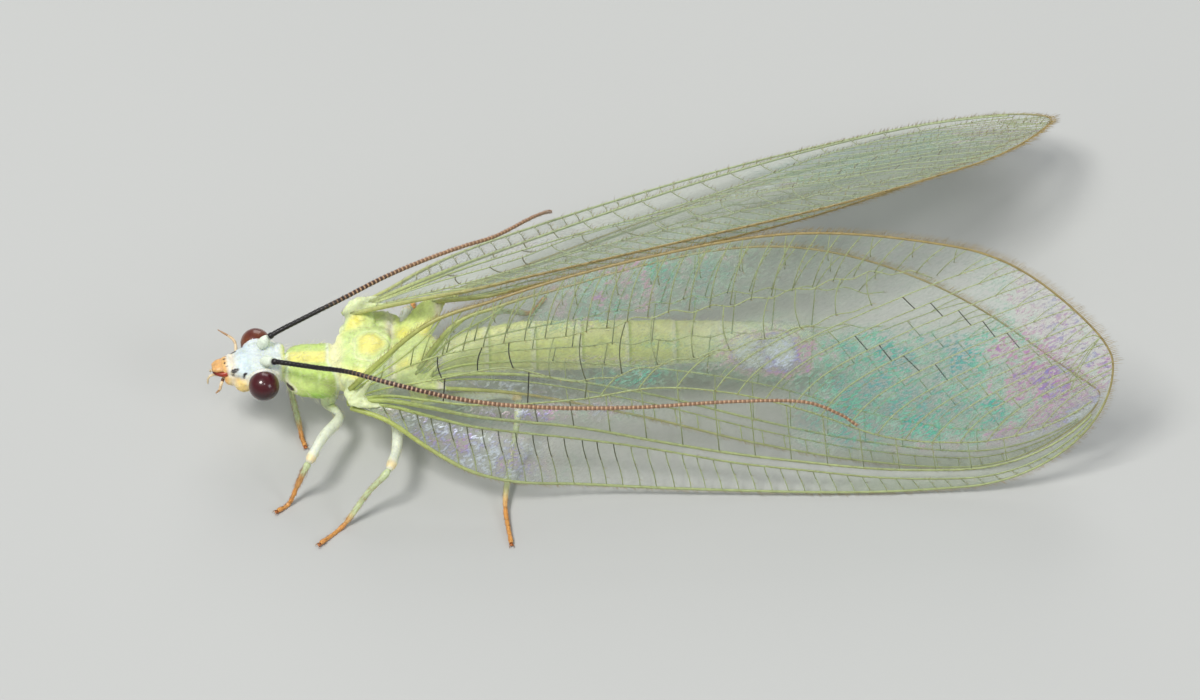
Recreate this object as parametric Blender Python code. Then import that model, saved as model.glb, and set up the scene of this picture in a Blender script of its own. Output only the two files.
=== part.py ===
"""A green lacewing at rest, life size, standing on a level floor.

Lengths are millimetres, turned into metres by MM. The head points to -X and
the tail to +X, the insect's left is -Y, its right is +Y, and the floor is Z = 0.
"""

import math

import bpy
import numpy as np
from mathutils import Vector

MM = 0.001

# Body, head to tail
BODY_Y = 0.15
EYE_MIDDLE = (-2.04, 0.165, 1.90)
HEAD_YAW = math.radians(6.0)
EYE_RADIUS = 0.36
EYE_SPREAD = 0.785
EYE_GAP = 0.12
ABDOMEN_START = 2.22
ABDOMEN_END = 11.05
ABDOMEN_RINGS = 8

# Wings
FOREWING_LENGTH = 17.87
HINDWING_LENGTH = 16.03
MEMBRANE = 0.42
VEIN_HEIGHT = 0.10
VEIN_HALF_WIDTH = 0.11
CROSSVEIN_SHARE = 0.5
WING_SPACING = 0.70
WING_STATIONS = 28
TIP_START = 0.8
ROOT_SHARE = 0.12

# Legs and feelers
FEMUR_RADIUS = 0.25
TIBIA_RADIUS = 0.2
TOE_RADIUS = 0.15
FEELER_RADIUS = 0.21
FEELER_TIP_RADIUS = 0.12

# Colours: red, green, blue and roughness
PALE_GREEN = (0.62, 0.72, 0.30, 0.45)
LIME = (0.45, 0.66, 0.16, 0.45)
YELLOW_GREEN = (0.72, 0.74, 0.26, 0.45)
CHALK = (0.80, 0.84, 0.82, 0.50)
AMBER = (0.72, 0.42, 0.14, 0.40)
MAROON = (0.09, 0.01, 0.015, 0.12)
UMBER = (0.10, 0.055, 0.035, 0.55)
SHIN = (0.66, 0.72, 0.56, 0.45)
PEARL = (0.66, 0.74, 0.60, 0.20)


def clear_scene():
    for thing in list(bpy.data.objects):
        bpy.data.objects.remove(thing)


def unit(vector):
    return np.asarray(vector, float) / np.linalg.norm(vector)


def smooth(rows, place):
    """Rows of (place, value, value ...) read at one place, passing smoothly from row to row."""
    table = np.array(rows, float)
    places, values = table[:, 0], table[:, 1:]
    slopes = np.gradient(values, places, axis=0)
    index = int(np.clip(np.searchsorted(places, place) - 1, 0, len(places) - 2))
    step = places[index + 1] - places[index]
    t = (place - places[index]) / step
    start = (2 * t**3 - 3 * t**2 + 1) * values[index]
    start_slope = (t**3 - 2 * t**2 + t) * step * slopes[index]
    end = (3 * t**2 - 2 * t**3) * values[index + 1]
    end_slope = (t**3 - t**2) * step * slopes[index + 1]
    return start + start_slope + end + end_slope


def material(name, colour):
    made = bpy.data.materials.new(name)
    made.use_nodes = True
    surface = made.node_tree.nodes["Principled BSDF"]
    surface.inputs["Base Color"].default_value = (*colour[:3], 1.0)
    surface.inputs["Roughness"].default_value = colour[3]
    surface.inputs["Metallic"].default_value = 0.0
    return made


def piece(name, points, faces, colour, pivot):
    """One closed mesh object, its points in millimetres and its origin at the pivot."""
    local = (np.asarray(points) - np.asarray(pivot)) * MM
    mesh = bpy.data.meshes.new(name)
    mesh.from_pydata([tuple(point) for point in local], [], faces)
    mesh.materials.append(material(name, colour))
    mesh.shade_smooth()
    thing = bpy.data.objects.new(name, mesh)
    thing.location = Vector(pivot) * MM
    bpy.context.collection.objects.link(thing)
    return thing


def ring(centre, across, upward, half_width, top, bottom, sides, power=2.0):
    """A closed outline round a centre, with its own half width, height above and depth below."""
    points = []
    for k in range(sides):
        angle = 2 * math.pi * k / sides
        c, s = math.cos(angle), math.sin(angle)
        side = math.copysign(abs(c) ** (2 / power), c) * half_width
        rise = math.copysign(abs(s) ** (2 / power), s) * (top if s > 0 else bottom)
        points.append(np.asarray(centre) + side * across + rise * upward)
    return points


def loft(rings):
    """Closed rings joined from first to last, each end closed by a fan."""
    sides = len(rings[0])
    points = [point for one in rings for point in one]
    faces = []
    for i in range(len(rings) - 1):
        for k in range(sides):
            a = i * sides + k
            b = i * sides + (k + 1) % sides
            faces.append((a, b, b + sides, a + sides))
    first, last = len(points), len(points) + 1
    points.append(np.mean(rings[0], axis=0))
    points.append(np.mean(rings[-1], axis=0))
    base = (len(rings) - 1) * sides
    for k in range(sides):
        following = (k + 1) % sides
        faces.append((first, following, k))
        faces.append((last, base + k, base + following))
    return points, faces


def body_rings(rows, stations, sides, shape=None):
    """Rings along X from rows of (x, y, z, half width, top, bottom)."""
    rings = []
    for x in np.linspace(rows[0][0], rows[-1][0], stations):
        y, z, half_width, top, bottom = smooth(rows, x)
        share = shape(x) if shape else 1.0
        across, upward = np.array((0.0, 1.0, 0.0)), np.array((0.0, 0.0, 1.0))
        size = (half_width * share, top * share, bottom * share)
        rings.append(ring((x, y, z), across, upward, *size, sides, 2.15))
    return rings


def lobed(rings, groove, width):
    """The same rings with a furrow along the back, between two low lobes."""
    for one in rings:
        middle = np.mean(one, axis=0)
        for point in one:
            if point[2] > middle[2]:
                depth = groove * math.exp(-(((point[1] - middle[1]) / width) ** 2))
                point[2] -= depth * (point[2] - middle[2])
    return rings


def path_points(corners, count):
    """Points evenly spread along a rounded path through the corners, and their share of it."""
    rows = [(i, *corner) for i, corner in enumerate(corners)]
    fine = np.array([smooth(rows, t) for t in np.linspace(0, len(corners) - 1, 200)])
    lengths = np.r_[0, np.cumsum(np.linalg.norm(np.diff(fine, axis=0), axis=1))]
    shares = np.linspace(0, 1, count)
    spread = [np.interp(shares * lengths[-1], lengths, fine[:, axis]) for axis in range(3)]
    return np.array(spread).T, shares


def tube(corners, radius, count, sides):
    """A round tube along the corners; radius gives its size at a share of the length."""
    points, shares = path_points(corners, count)
    rings = []
    across = None
    for i, point in enumerate(points):
        ahead = unit(points[min(i + 1, count - 1)] - points[max(i - 1, 0)])
        seed = np.array((0.0, 0.0, 1.0)) if across is None else np.cross(across, ahead)
        across = unit(np.cross(ahead, seed))
        upward = unit(np.cross(across, ahead))
        size = radius(shares[i])
        rings.append(ring(point, across, -upward, size, size, size, sides))
    return loft(rings)


def on_floor(points):
    """Whatever would pass below the floor is flattened onto it."""
    for point in points:
        point[2] = max(point[2], 0.0)
    return points


def united(name, parts, colour, pivot):
    """Overlapping closed shapes joined into one body."""
    group = bpy.data.collections.new(name + "_parts")
    bpy.context.scene.collection.children.link(group)
    things = [piece(f"{name}_{i}", *part, colour, pivot) for i, part in enumerate(parts)]
    for thing in things[1:]:
        bpy.context.collection.objects.unlink(thing)
        group.objects.link(thing)
    whole = things[0]
    whole.name = name
    join = whole.modifiers.new("join", "BOOLEAN")
    join.operation = "UNION"
    join.operand_type = "COLLECTION"
    join.collection = group
    join.solver = "EXACT"
    apply_modifiers(whole)
    for thing in things[1:]:
        bpy.data.objects.remove(thing)
    bpy.data.collections.remove(group)
    return whole


def apply_modifiers(thing):
    bpy.context.view_layer.update()
    shape = thing.evaluated_get(bpy.context.evaluated_depsgraph_get())
    mesh = bpy.data.meshes.new_from_object(shape)
    thing.modifiers.clear()
    thing.data = mesh


def hollowed(thing, cutters):
    """The thing with the cutters' shapes taken out of it."""
    for i, cutter in enumerate(cutters):
        cutter.hide_render = True
        cutter.display_type = "WIRE"
        cut = thing.modifiers.new(f"hollow_{i}", "BOOLEAN")
        cut.operation = "DIFFERENCE"
        cut.object = cutter
        cut.solver = "EXACT"
    apply_modifiers(thing)
    for cutter in cutters:
        bpy.data.objects.remove(cutter)


# Head


def head_point(forward, left, up):
    """A place on the head: forward, to its left and up from midway between the eyes."""
    c, s = math.cos(HEAD_YAW), math.sin(HEAD_YAW)
    x = EYE_MIDDLE[0] - forward * c + left * s
    y = EYE_MIDDLE[1] - forward * s - left * c
    return np.array((x, y, EYE_MIDDLE[2] + up))


def head_ring(forward, half_width, top, bottom, sides):
    across = unit(head_point(0, -1, 0) - head_point(0, 0, 0))
    upward = np.array((0.0, 0.0, 1.0))
    return ring(head_point(forward, 0, 0), across, upward, half_width, top, bottom, sides, 2.3)


def ball(centre, radius, rings=12, sides=18, stretch=(1.0, 1.0, 1.0)):
    """A ball drawn as rings from its lower pole to its upper one."""
    rows = []
    for i in range(rings):
        angle = math.pi * (i + 0.5) / rings
        size = radius * math.sin(angle)
        middle = np.asarray(centre) - (0, 0, radius * math.cos(angle) * stretch[2])
        across, ahead = np.array((stretch[0], 0, 0)), np.array((0, stretch[1], 0))
        rows.append(ring(middle, across, ahead, size, size, size, sides))
    return loft(rows)


def make_head():
    rows = (
        (-0.50, 0.34, 0.10, 0.34),
        (-0.36, 0.60, 0.19, 0.46),
        (-0.05, 0.66, 0.22, 0.54),
        (0.25, 0.55, 0.18, 0.54),
        (0.50, 0.42, 0.13, 0.48),
        (0.72, 0.30, 0.07, 0.38),
        (0.84, 0.20, 0.01, 0.26),
    )
    rings = []
    for forward in np.linspace(rows[0][0], rows[-1][0], 12):
        rings.append(head_ring(forward, *smooth(rows, forward), 24))
    points, faces = loft(rings)
    faces = [tuple(reversed(face)) for face in faces]
    head = piece("head", points, faces, CHALK, head_point(0, 0, 0))
    cutters = []
    for side in (-1, 1):
        centre = head_point(0, side * EYE_SPREAD, 0)
        shape = ball(centre, EYE_RADIUS + EYE_GAP)
        cutters.append(piece(f"socket_{side}", *shape, CHALK, centre))
    hollowed(head, cutters)


def make_eyes():
    for name, side in (("eye_left", 1), ("eye_right", -1)):
        centre = head_point(0, side * EYE_SPREAD, 0)
        piece(name, *ball(centre, EYE_RADIUS, 14, 20), MAROON, centre)


def palp(*corners):
    places = [head_point(*corner) for corner in corners]
    return tube(places, lambda share: 0.13 - 0.05 * share, 9, 8)


def make_mouthparts():
    rows = ((0.95, 0.20, -0.02, 0.22), (1.05, 0.20, -0.03, 0.27), (1.13, 0.13, -0.08, 0.24))
    rings = [head_ring(f, w, top, bottom, 16) for f, w, top, bottom in rows]
    points, faces = loft(rings)
    labrum = (points, [tuple(reversed(face)) for face in faces])
    parts = [labrum]
    parts.append(palp((1.02, 0.04, -0.18), (0.97, 0.30, -0.34), (1.02, 0.44, -0.35), (1.12, 0.58, -0.30)))
    parts.append(palp((1.02, -0.04, -0.18), (0.92, -0.42, -0.26), (0.74, -0.72, -0.06), (0.98, -0.98, 0.06)))
    parts.append(palp((1.04, 0.02, -0.16), (1.18, 0.06, -0.12), (1.27, 0.14, -0.20), (1.28, 0.21, -0.34)))
    united("mouthparts", parts, AMBER, head_point(1.0, 0, -0.1))


# Feelers


def feeler_size(share):
    return FEELER_RADIUS + (FEELER_TIP_RADIUS - FEELER_RADIUS) * share**0.8


def make_antennae():
    left = (
        (-2.00, -0.15, 2.44),
        (-1.62, -0.37, 2.48),
        (-0.75, -0.82, 2.70),
        (0.07, -1.40, 3.12),
        (1.10, -1.92, 3.22),
        (2.80, -2.30, 3.00),
        (4.60, -2.46, 2.86),
        (6.70, -2.52, 2.84),
        (8.80, -2.52, 2.94),
        (10.50, -2.60, 2.96),
        (11.35, -2.78, 2.72),
        (11.80, -2.96, 2.48),
    )
    right = (
        (-2.10, 0.40, 2.42),
        (-1.72, 0.48, 2.50),
        (-0.90, 0.82, 2.70),
        (-0.12, 1.15, 2.88),
        (0.95, 1.78, 2.96),
        (1.93, 2.38, 2.88),
        (2.80, 2.92, 2.72),
        (3.59, 3.42, 2.52),
        (4.47, 4.30, 2.19),
        (4.82, 4.88, 1.76),
        (4.92, 5.50, 1.14),
        (5.00, 6.15, 0.46),
    )
    for name, corners in (("antenna_left", left), ("antenna_right", right)):
        points, faces = tube(corners, feeler_size, 30, 8)
        piece(name, on_floor(points), faces, UMBER, corners[0])


# Thorax and abdomen


def make_thorax():
    prothorax = (
        (-1.42, BODY_Y, 1.64, 0.52, 0.34, 0.34),
        (-1.25, BODY_Y, 1.60, 0.66, 0.41, 0.42),
        (-0.85, BODY_Y, 1.55, 0.76, 0.44, 0.46),
        (-0.55, BODY_Y, 1.54, 0.78, 0.46, 0.46),
        (-0.34, BODY_Y, 1.55, 0.68, 0.42, 0.40),
    )
    mesothorax = (
        (-0.14, BODY_Y + 0.02, 1.60, 0.64, 0.46, 0.42),
        (0.02, BODY_Y + 0.08, 1.64, 0.84, 0.58, 0.54),
        (0.50, BODY_Y + 0.11, 1.68, 0.98, 0.67, 0.64),
        (0.95, BODY_Y + 0.10, 1.69, 0.92, 0.62, 0.62),
        (1.14, BODY_Y + 0.10, 1.69, 0.74, 0.50, 0.50),
    )
    metathorax = (
        (1.32, BODY_Y + 0.11, 1.68, 0.66, 0.48, 0.48),
        (1.50, BODY_Y + 0.12, 1.69, 0.76, 0.57, 0.56),
        (1.78, BODY_Y + 0.13, 1.69, 0.73, 0.55, 0.55),
        (2.04, BODY_Y + 0.16, 1.70, 0.54, 0.44, 0.42),
    )
    shapes = (
        ("prothorax", prothorax, LIME, 9, 0.05),
        ("mesothorax", mesothorax, PALE_GREEN, 10, 0.12),
        ("metathorax", metathorax, YELLOW_GREEN, 8, 0.10),
    )
    for name, rows, colour, stations, groove in shapes:
        rings = lobed(body_rings(rows, stations, 24), groove, 0.22)
        piece(name, *loft(rings), colour, rows[len(rows) // 2][:3])


def segment_swell(x):
    """The abdomen narrows a little where its segments meet."""
    turns = ABDOMEN_RINGS * (x - ABDOMEN_START) / (ABDOMEN_END - ABDOMEN_START)
    return 1.0 - 0.045 * (1.0 - abs(math.sin(math.pi * turns)))


def make_abdomen():
    rows = (
        (ABDOMEN_START, 0.33, 1.68, 0.36, 0.34, 0.34),
        (2.60, 0.39, 1.70, 0.48, 0.45, 0.46),
        (3.60, 0.48, 1.76, 0.58, 0.55, 0.56),
        (6.00, 0.49, 1.80, 0.57, 0.55, 0.55),
        (8.50, 0.49, 1.79, 0.50, 0.48, 0.48),
        (10.0, 0.49, 1.78, 0.40, 0.38, 0.40),
        (10.7, 0.49, 1.77, 0.29, 0.28, 0.30),
        (ABDOMEN_END, 0.49, 1.76, 0.16, 0.16, 0.18),
    )
    rings = body_rings(rows, 2 * ABDOMEN_RINGS + 5, 20, segment_swell)
    piece("abdomen", *loft(rings), YELLOW_GREEN, (ABDOMEN_START, 0.33, 1.68))


# Legs


def leg_size(share):
    """The leg's half thickness from hip to toe."""
    rows = (
        (0.0, 0.21),
        (0.12, FEMUR_RADIUS),
        (0.38, 0.235),
        (0.5, TIBIA_RADIUS),
        (0.75, 0.18),
        (0.9, TOE_RADIUS),
        (1.0, TOE_RADIUS),
    )
    return float(smooth(rows, share)[0])


def make_legs():
    toe = TOE_RADIUS - 0.03
    legs = {
        "fore_left": ((-0.50, -0.15, 0.72), (-0.22, -0.80, 0.93), (-0.62, -1.60, 1.12),
                      (-0.97, -2.34, 1.06), (-1.22, -2.48, 0.52), (-1.45, -2.70, toe), (-1.72, -2.92, toe)),
        "middle_left": ((0.55, -0.20, 0.66), (1.05, -0.90, 0.92), (1.12, -1.80, 1.08),
                        (0.90, -2.72, 1.16), (0.40, -3.02, 0.72), (-0.20, -3.45, toe), (-0.74, -3.98, toe)),
        "hind_left": ((1.62, -0.18, 0.74), (2.60, -0.36, 1.00), (3.80, -0.58, 1.32),
                      (3.98, -0.92, 1.18), (3.78, -1.90, 0.52), (3.60, -3.00, 0.20), (3.70, -4.14, toe)),
        "fore_right": ((-0.72, 0.60, 0.74), (-1.12, 0.90, 0.84), (-1.40, 0.72, 0.92),
                       (-1.34, 0.26, 0.72), (-1.20, -0.26, 0.34), (-1.12, -0.60, toe), (-1.05, -0.88, toe)),
        "middle_right": ((0.55, 0.58, 0.66), (1.00, 1.30, 0.90), (1.30, 2.00, 1.10),
                         (1.48, 2.55, 1.00), (1.60, 2.92, 0.50), (1.66, 3.20, toe), (1.60, 3.66, toe)),
        "hind_right": ((1.62, 0.62, 0.74), (2.30, 1.14, 0.94), (3.00, 1.80, 1.12),
                       (3.50, 2.35, 1.02), (4.00, 2.85, 0.50), (4.40, 3.20, toe), (4.75, 3.65, toe)),
    }
    for name, corners in legs.items():
        points, faces = tube(corners, leg_size, 18, 8)
        piece("leg_" + name, on_floor(points), faces, SHIN, corners[0])


# Wings


def wing_axes(side, yaw, pitch, slope):
    """Unit vectors from root to tip, from front margin to hind margin, and outwards."""
    yaw, pitch, slope = (math.radians(angle) for angle in (yaw, pitch, slope))
    level = np.array((-math.sin(yaw), side * math.cos(yaw), 0.0))
    heading = np.array((math.cos(yaw), side * math.sin(yaw), 0.0))
    along = heading * math.cos(pitch) + np.array((0.0, 0.0, math.sin(pitch)))
    above = unit(np.array((0.0, 0.0, 1.0)) - along * along[2])
    chord = above * math.sin(slope) - level * math.cos(slope)
    outward = above * math.cos(slope) + level * math.sin(slope)
    return along, chord, outward


def rounded_tip(u):
    """One along the wing, falling as an ellipse does over its tip."""
    over = max(0.0, (u - TIP_START) / (1.0 - TIP_START))
    return math.sqrt(max(0.0, 1.0 - over * over))


FOREWING_FRONT = (
    (0.0, 0.010), (0.05, 0.030), (0.10, 0.066), (0.15, 0.096), (0.20, 0.114),
    (0.30, 0.130), (0.50, 0.151), (0.70, 0.163), (0.85, 0.160), (1.0, 0.152),
)
FOREWING_HIND = (
    (0.0, 0.010), (0.05, 0.054), (0.10, 0.092), (0.20, 0.126), (0.40, 0.173),
    (0.60, 0.195), (0.80, 0.168), (0.90, 0.141), (1.0, 0.092),
)
HINDWING_FRONT = (
    (0.0, 0.010), (0.16, 0.017), (0.33, 0.048), (0.50, 0.087), (0.67, 0.113),
    (0.80, 0.119), (0.90, 0.108), (1.0, 0.080),
)
HINDWING_HIND = (
    (0.0, 0.012), (0.05, 0.080), (0.12, 0.114), (0.21, 0.143), (0.35, 0.185),
    (0.45, 0.206), (0.55, 0.210), (0.65, 0.194), (0.75, 0.160), (0.85, 0.110), (1.0, 0.030),
)

# Each main vein's share of the way from front to hind margin, along the wing
MAIN_VEINS = (
    ("subcosta", ((0.0, 0.20), (0.1, 0.26), (0.3, 0.22), (0.5, 0.12), (0.8, 0.07), (1.0, 0.08))),
    ("radius", ((0.0, 0.32), (0.1, 0.34), (0.3, 0.28), (0.5, 0.17), (0.8, 0.11), (1.0, 0.14))),
    ("sector", ((0.0, 0.44), (0.2, 0.43), (0.4, 0.44), (0.6, 0.32), (0.75, 0.23), (1.0, 0.32))),
    ("media", ((0.0, 0.56), (0.2, 0.60), (0.3, 0.54), (0.5, 0.58), (0.7, 0.67), (1.0, 0.58))),
    ("cubitus", ((0.0, 0.70), (0.1, 0.74), (0.3, 0.74), (0.5, 0.77), (0.7, 0.84), (1.0, 0.80))),
)


def wing_lines(u, chord_mm):
    """Shares across the chord, each with its raise as a share of the vein height."""
    width = min(VEIN_HALF_WIDTH / chord_mm, 0.035)
    lines = [(0.0, 1.0, "vein"), (width, 0.0, "field")]
    for name, rows in MAIN_VEINS:
        share = float(smooth(rows, u)[0])
        if name != "radius":
            lines.append((share - width, 0.0, "field"))
        lines.append((share, 1.0, "vein"))
        if name != "subcosta":
            lines.append((share + width, 0.0, "field"))
    lines += [(1.0 - width, 0.0, "field"), (1.0, 0.7, "vein")]
    shares = [line[0] for line in lines]
    for k in range(1, len(shares)):
        shares[k] = max(shares[k], shares[k - 1] + 0.3 * width)
    over = max(1.0, shares[-1])
    return [(share / over, *line[1:]) for share, line in zip(shares, lines)]


def wing(name, root, axes, length, front, hind, bend, bow):
    """A wing: a membrane with its veins raised on the outer face.

    bend moves the root over to its hinge, and bow curves the margins inwards.
    """
    along, chord, outward = axes
    outer, inner = [], []
    for station in range(WING_STATIONS):
        u = 0.5 - 0.5 * math.cos(math.pi * (station + 0.25) / WING_STATIONS)
        near = -float(smooth(front, u)[0]) * rounded_tip(u)
        far = float(smooth(hind, u)[0]) * rounded_tip(u)
        chord_mm = (far - near) * length
        root_pull = max(0.0, 1.0 - u / ROOT_SHARE) ** 2
        raised = CROSSVEIN_SHARE if station % 2 else 0.0
        for share, height, kind in wing_lines(u, chord_mm):
            v = near + share * (far - near)
            middle = np.asarray(root) + length * (u * along + v * chord)
            middle = middle + root_pull * np.asarray(bend) + bow(u, v) * outward
            lift = VEIN_HEIGHT * (height if kind == "vein" else raised)
            outer.append(middle + (MEMBRANE / 2 + lift) * outward)
            inner.append(middle - MEMBRANE / 2 * outward)
    lines = len(outer) // WING_STATIONS
    return on_floor(outer + inner), slab_faces(WING_STATIONS, lines)


def slab_faces(stations, lines):
    """Triangles of a slab whose two faces are grids, split alike on both, and its rim."""
    count = stations * lines
    faces = []
    for i in range(stations - 1):
        for j in range(lines - 1):
            a, b = i * lines + j, i * lines + j + 1
            c, d = b + lines, a + lines
            faces += [(a, c, b), (a, d, c)]
            faces += [(a + count, b + count, c + count), (a + count, c + count, d + count)]
    rim = [i * lines for i in range(stations)]
    rim += [(stations - 1) * lines + j for j in range(1, lines)]
    rim += [i * lines + lines - 1 for i in range(stations - 2, -1, -1)]
    rim += [j for j in range(lines - 2, 0, -1)]
    for k, a in enumerate(rim):
        b = rim[(k + 1) % len(rim)]
        faces += [(a, a + count, b + count), (a, b + count, b)]
    return faces


def bow_left(u, v):
    """The near wings' margins curve in, but by the root the front margin flares out."""
    flare = 0.42 * math.exp(-(((u - 0.17) / 0.11) ** 2)) * min(1.0, max(0.0, -v / 0.10))
    return flare - 0.16 * ((v - 0.02) / 0.18) ** 2


def bow_right(u, v):
    return -0.10 * ((v - 0.02) / 0.18) ** 2


def make_wings():
    sides = (
        ("left", -1, (-0.02, -1.47, 2.24), (0.7, 2.24, 60.0), (0.0, 0.30, -0.30), bow_left),
        ("right", 1, (0.40, 1.26, 2.62), (20.9, -2.9, 34.2), (-0.46, 0.20, -0.56), bow_right),
    )
    for name, side, root, angles, bend, bow in sides:
        axes = wing_axes(side, *angles)
        fore = wing("forewing", root, axes, FOREWING_LENGTH, FOREWING_FRONT, FOREWING_HIND, bend, bow)
        turned = facing_out(fore, side)
        piece("forewing_" + name, *turned, PEARL, root)
        along, chord, outward = axes
        swing = math.radians(-4.0 if side < 0 else -2.0)
        hind_axes = (
            along * math.cos(swing) + chord * math.sin(swing),
            chord * math.cos(swing) - along * math.sin(swing),
            outward,
        )
        hind_root = np.asarray(root) + 1.587 * along + 0.194 * chord - WING_SPACING * outward
        hind_bend = np.zeros(3)
        shape = (HINDWING_LENGTH, HINDWING_FRONT, HINDWING_HIND, hind_bend, bow)
        hind = wing("hindwing", hind_root, hind_axes, *shape)
        piece("hindwing_" + name, *facing_out(hind, side), PEARL, hind_root)


def facing_out(shape, side):
    points, faces = shape
    if side > 0:
        faces = [tuple(reversed(face)) for face in faces]
    return points, faces


def centre_on_floor():
    """Everything hangs from one empty, moved so that the origin is under the middle."""
    bpy.context.view_layer.update()
    things = list(bpy.data.objects)
    corners = [thing.matrix_world @ Vector(corner) for thing in things for corner in thing.bound_box]
    low = Vector(min(corner[axis] for corner in corners) for axis in range(3))
    high = Vector(max(corner[axis] for corner in corners) for axis in range(3))
    stand = bpy.data.objects.new("lacewing", None)
    bpy.context.collection.objects.link(stand)
    for thing in things:
        thing.parent = stand
    middle = (low + high) / 2
    stand.location = (-middle.x, -middle.y, 0.0)


def main():
    clear_scene()
    make_head()
    make_eyes()
    make_mouthparts()
    make_antennae()
    make_thorax()
    make_abdomen()
    make_legs()
    make_wings()
    centre_on_floor()


main()
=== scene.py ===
"""The looks of a green lacewing at rest, with its floor, light and camera.

Shapes are drawn in millimetres: the head points to -X, the insect's left is -Y,
and the floor is Z = 0. SHIFT and MM bring them to the model's frame in metres.
"""

import math

import bpy
import numpy as np
from mathutils import Matrix, Vector, noise


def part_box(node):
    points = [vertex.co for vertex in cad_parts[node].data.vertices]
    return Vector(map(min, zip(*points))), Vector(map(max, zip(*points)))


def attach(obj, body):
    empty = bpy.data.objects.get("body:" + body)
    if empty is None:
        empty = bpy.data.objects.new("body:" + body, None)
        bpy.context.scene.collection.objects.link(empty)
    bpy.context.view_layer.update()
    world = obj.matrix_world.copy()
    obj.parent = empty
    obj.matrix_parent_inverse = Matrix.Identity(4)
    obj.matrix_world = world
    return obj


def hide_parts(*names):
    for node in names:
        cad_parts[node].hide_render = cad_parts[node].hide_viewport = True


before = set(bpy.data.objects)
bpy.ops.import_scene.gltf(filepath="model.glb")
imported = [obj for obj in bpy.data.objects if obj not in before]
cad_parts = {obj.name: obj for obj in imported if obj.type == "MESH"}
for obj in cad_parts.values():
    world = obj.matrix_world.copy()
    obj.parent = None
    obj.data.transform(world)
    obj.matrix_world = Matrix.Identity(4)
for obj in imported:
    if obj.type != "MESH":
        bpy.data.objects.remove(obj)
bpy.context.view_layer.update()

MM = 0.001
ABDOMEN_START = 2.22
BODY_Y = 0.15

# Head
EYE_MIDDLE = np.array((-2.04, 0.165, 1.90))
HEAD_YAW = math.radians(6.0)
EYE_RADIUS = 0.36
EYES = {"eye_left": (0.0, 0.785, 0.0), "eye_right": (0.03, -0.65, -0.06)}

# Abdomen
ABDOMEN_END = 11.05
ABDOMEN_RINGS = 8

# Wings
FOREWING_LENGTH = 17.87
HINDWING_LENGTH = 16.03
TIP_START = 0.8
ROOT_SHARE = 0.12
MEMBRANE = 0.012
FILM_ROWS = 250
FILM_LINES = 84

SKIN_VOXEL = 0.03

# Hairs: the angles of their three sides, how many lie on the body, and their radii
THIRDS = (0.0, 2.0944, 4.1888)
BODY_HAIRS = 5200
BODY_HAIR = 0.0045
FEELER_HAIR = 0.0032
LEG_HAIR = 0.0038
WING_HAIR = 0.0058

# Camera
AZIMUTH, ELEVATION = math.radians(-2.3), math.radians(47.0)
TARGET = (5.94, 0.0, 2.127)
DISTANCE = 200.0
MM_PER_PIXEL = 0.02347
PICTURE_WIDTH = 1200.0
SENSOR_WIDTH = 36.0

UP = np.array((0.0, 0.0, 1.0))


def find_shift():
    """How far the model's frame lies from the one that the shapes are drawn in."""
    abdomen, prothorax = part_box("abdomen"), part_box("prothorax")
    x = abdomen[0].x / MM - ABDOMEN_START
    y = (prothorax[0].y + prothorax[1].y) / 2 / MM - BODY_Y
    return np.array((x, y, 0.0))


SHIFT = find_shift()


# Small tools


def unit(vectors):
    vectors = np.asarray(vectors, float)
    return vectors / np.maximum(np.linalg.norm(vectors, axis=-1, keepdims=True), 1e-12)


def smooth(rows, places):
    """Rows of (place, value, value ...) read at many places, passing smoothly from row to row."""
    table = np.array(rows, float)
    at, values = table[:, 0], table[:, 1:]
    slopes = np.gradient(values, at, axis=0)
    places = np.clip(np.atleast_1d(np.asarray(places, float)), at[0], at[-1])
    index = np.clip(np.searchsorted(at, places) - 1, 0, len(at) - 2)
    step = (at[index + 1] - at[index])[:, None]
    t = (places[:, None] - at[index][:, None]) / step
    start = (2 * t**3 - 3 * t**2 + 1) * values[index]
    start_slope = (t**3 - 2 * t**2 + t) * step * slopes[index]
    end = (3 * t**2 - 2 * t**3) * values[index + 1]
    end_slope = (t**3 - t**2) * step * slopes[index + 1]
    return start + start_slope + end + end_slope


def bump(x, middle, width):
    """One at the middle, falling to nothing over the width."""
    return np.exp(-(((np.asarray(x) - middle) / width) ** 2))


def step_up(x, start, end):
    t = np.clip((np.asarray(x) - start) / (end - start), 0.0, 1.0)
    return t * t * (3 - 2 * t)


def screen(red, green, blue):
    """A screen colour, 0 to 255, as light."""
    parts = np.array((red, green, blue)) / 255.0
    return np.where(parts <= 0.04045, parts / 12.92, ((parts + 0.055) / 1.055) ** 2.4)


def blend(colours, other, share):
    share = np.clip(np.asarray(share, float), 0.0, 1.0)[..., None]
    return colours * (1 - share) + other * share


def painted(tints, *coats):
    """Tints with more colours laid over them, each a screen colour and its share."""
    for colour, share in coats:
        tints = blend(tints, screen(*colour), share)
    return tints


def grain(points, size, seed):
    """Smooth noise from -1 to 1 at each point, with features of that size."""
    offset = Vector((seed * 7.3, seed * 3.1, seed * 5.7))
    return np.array([noise.noise(Vector(point) / size + offset) for point in points])


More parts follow.
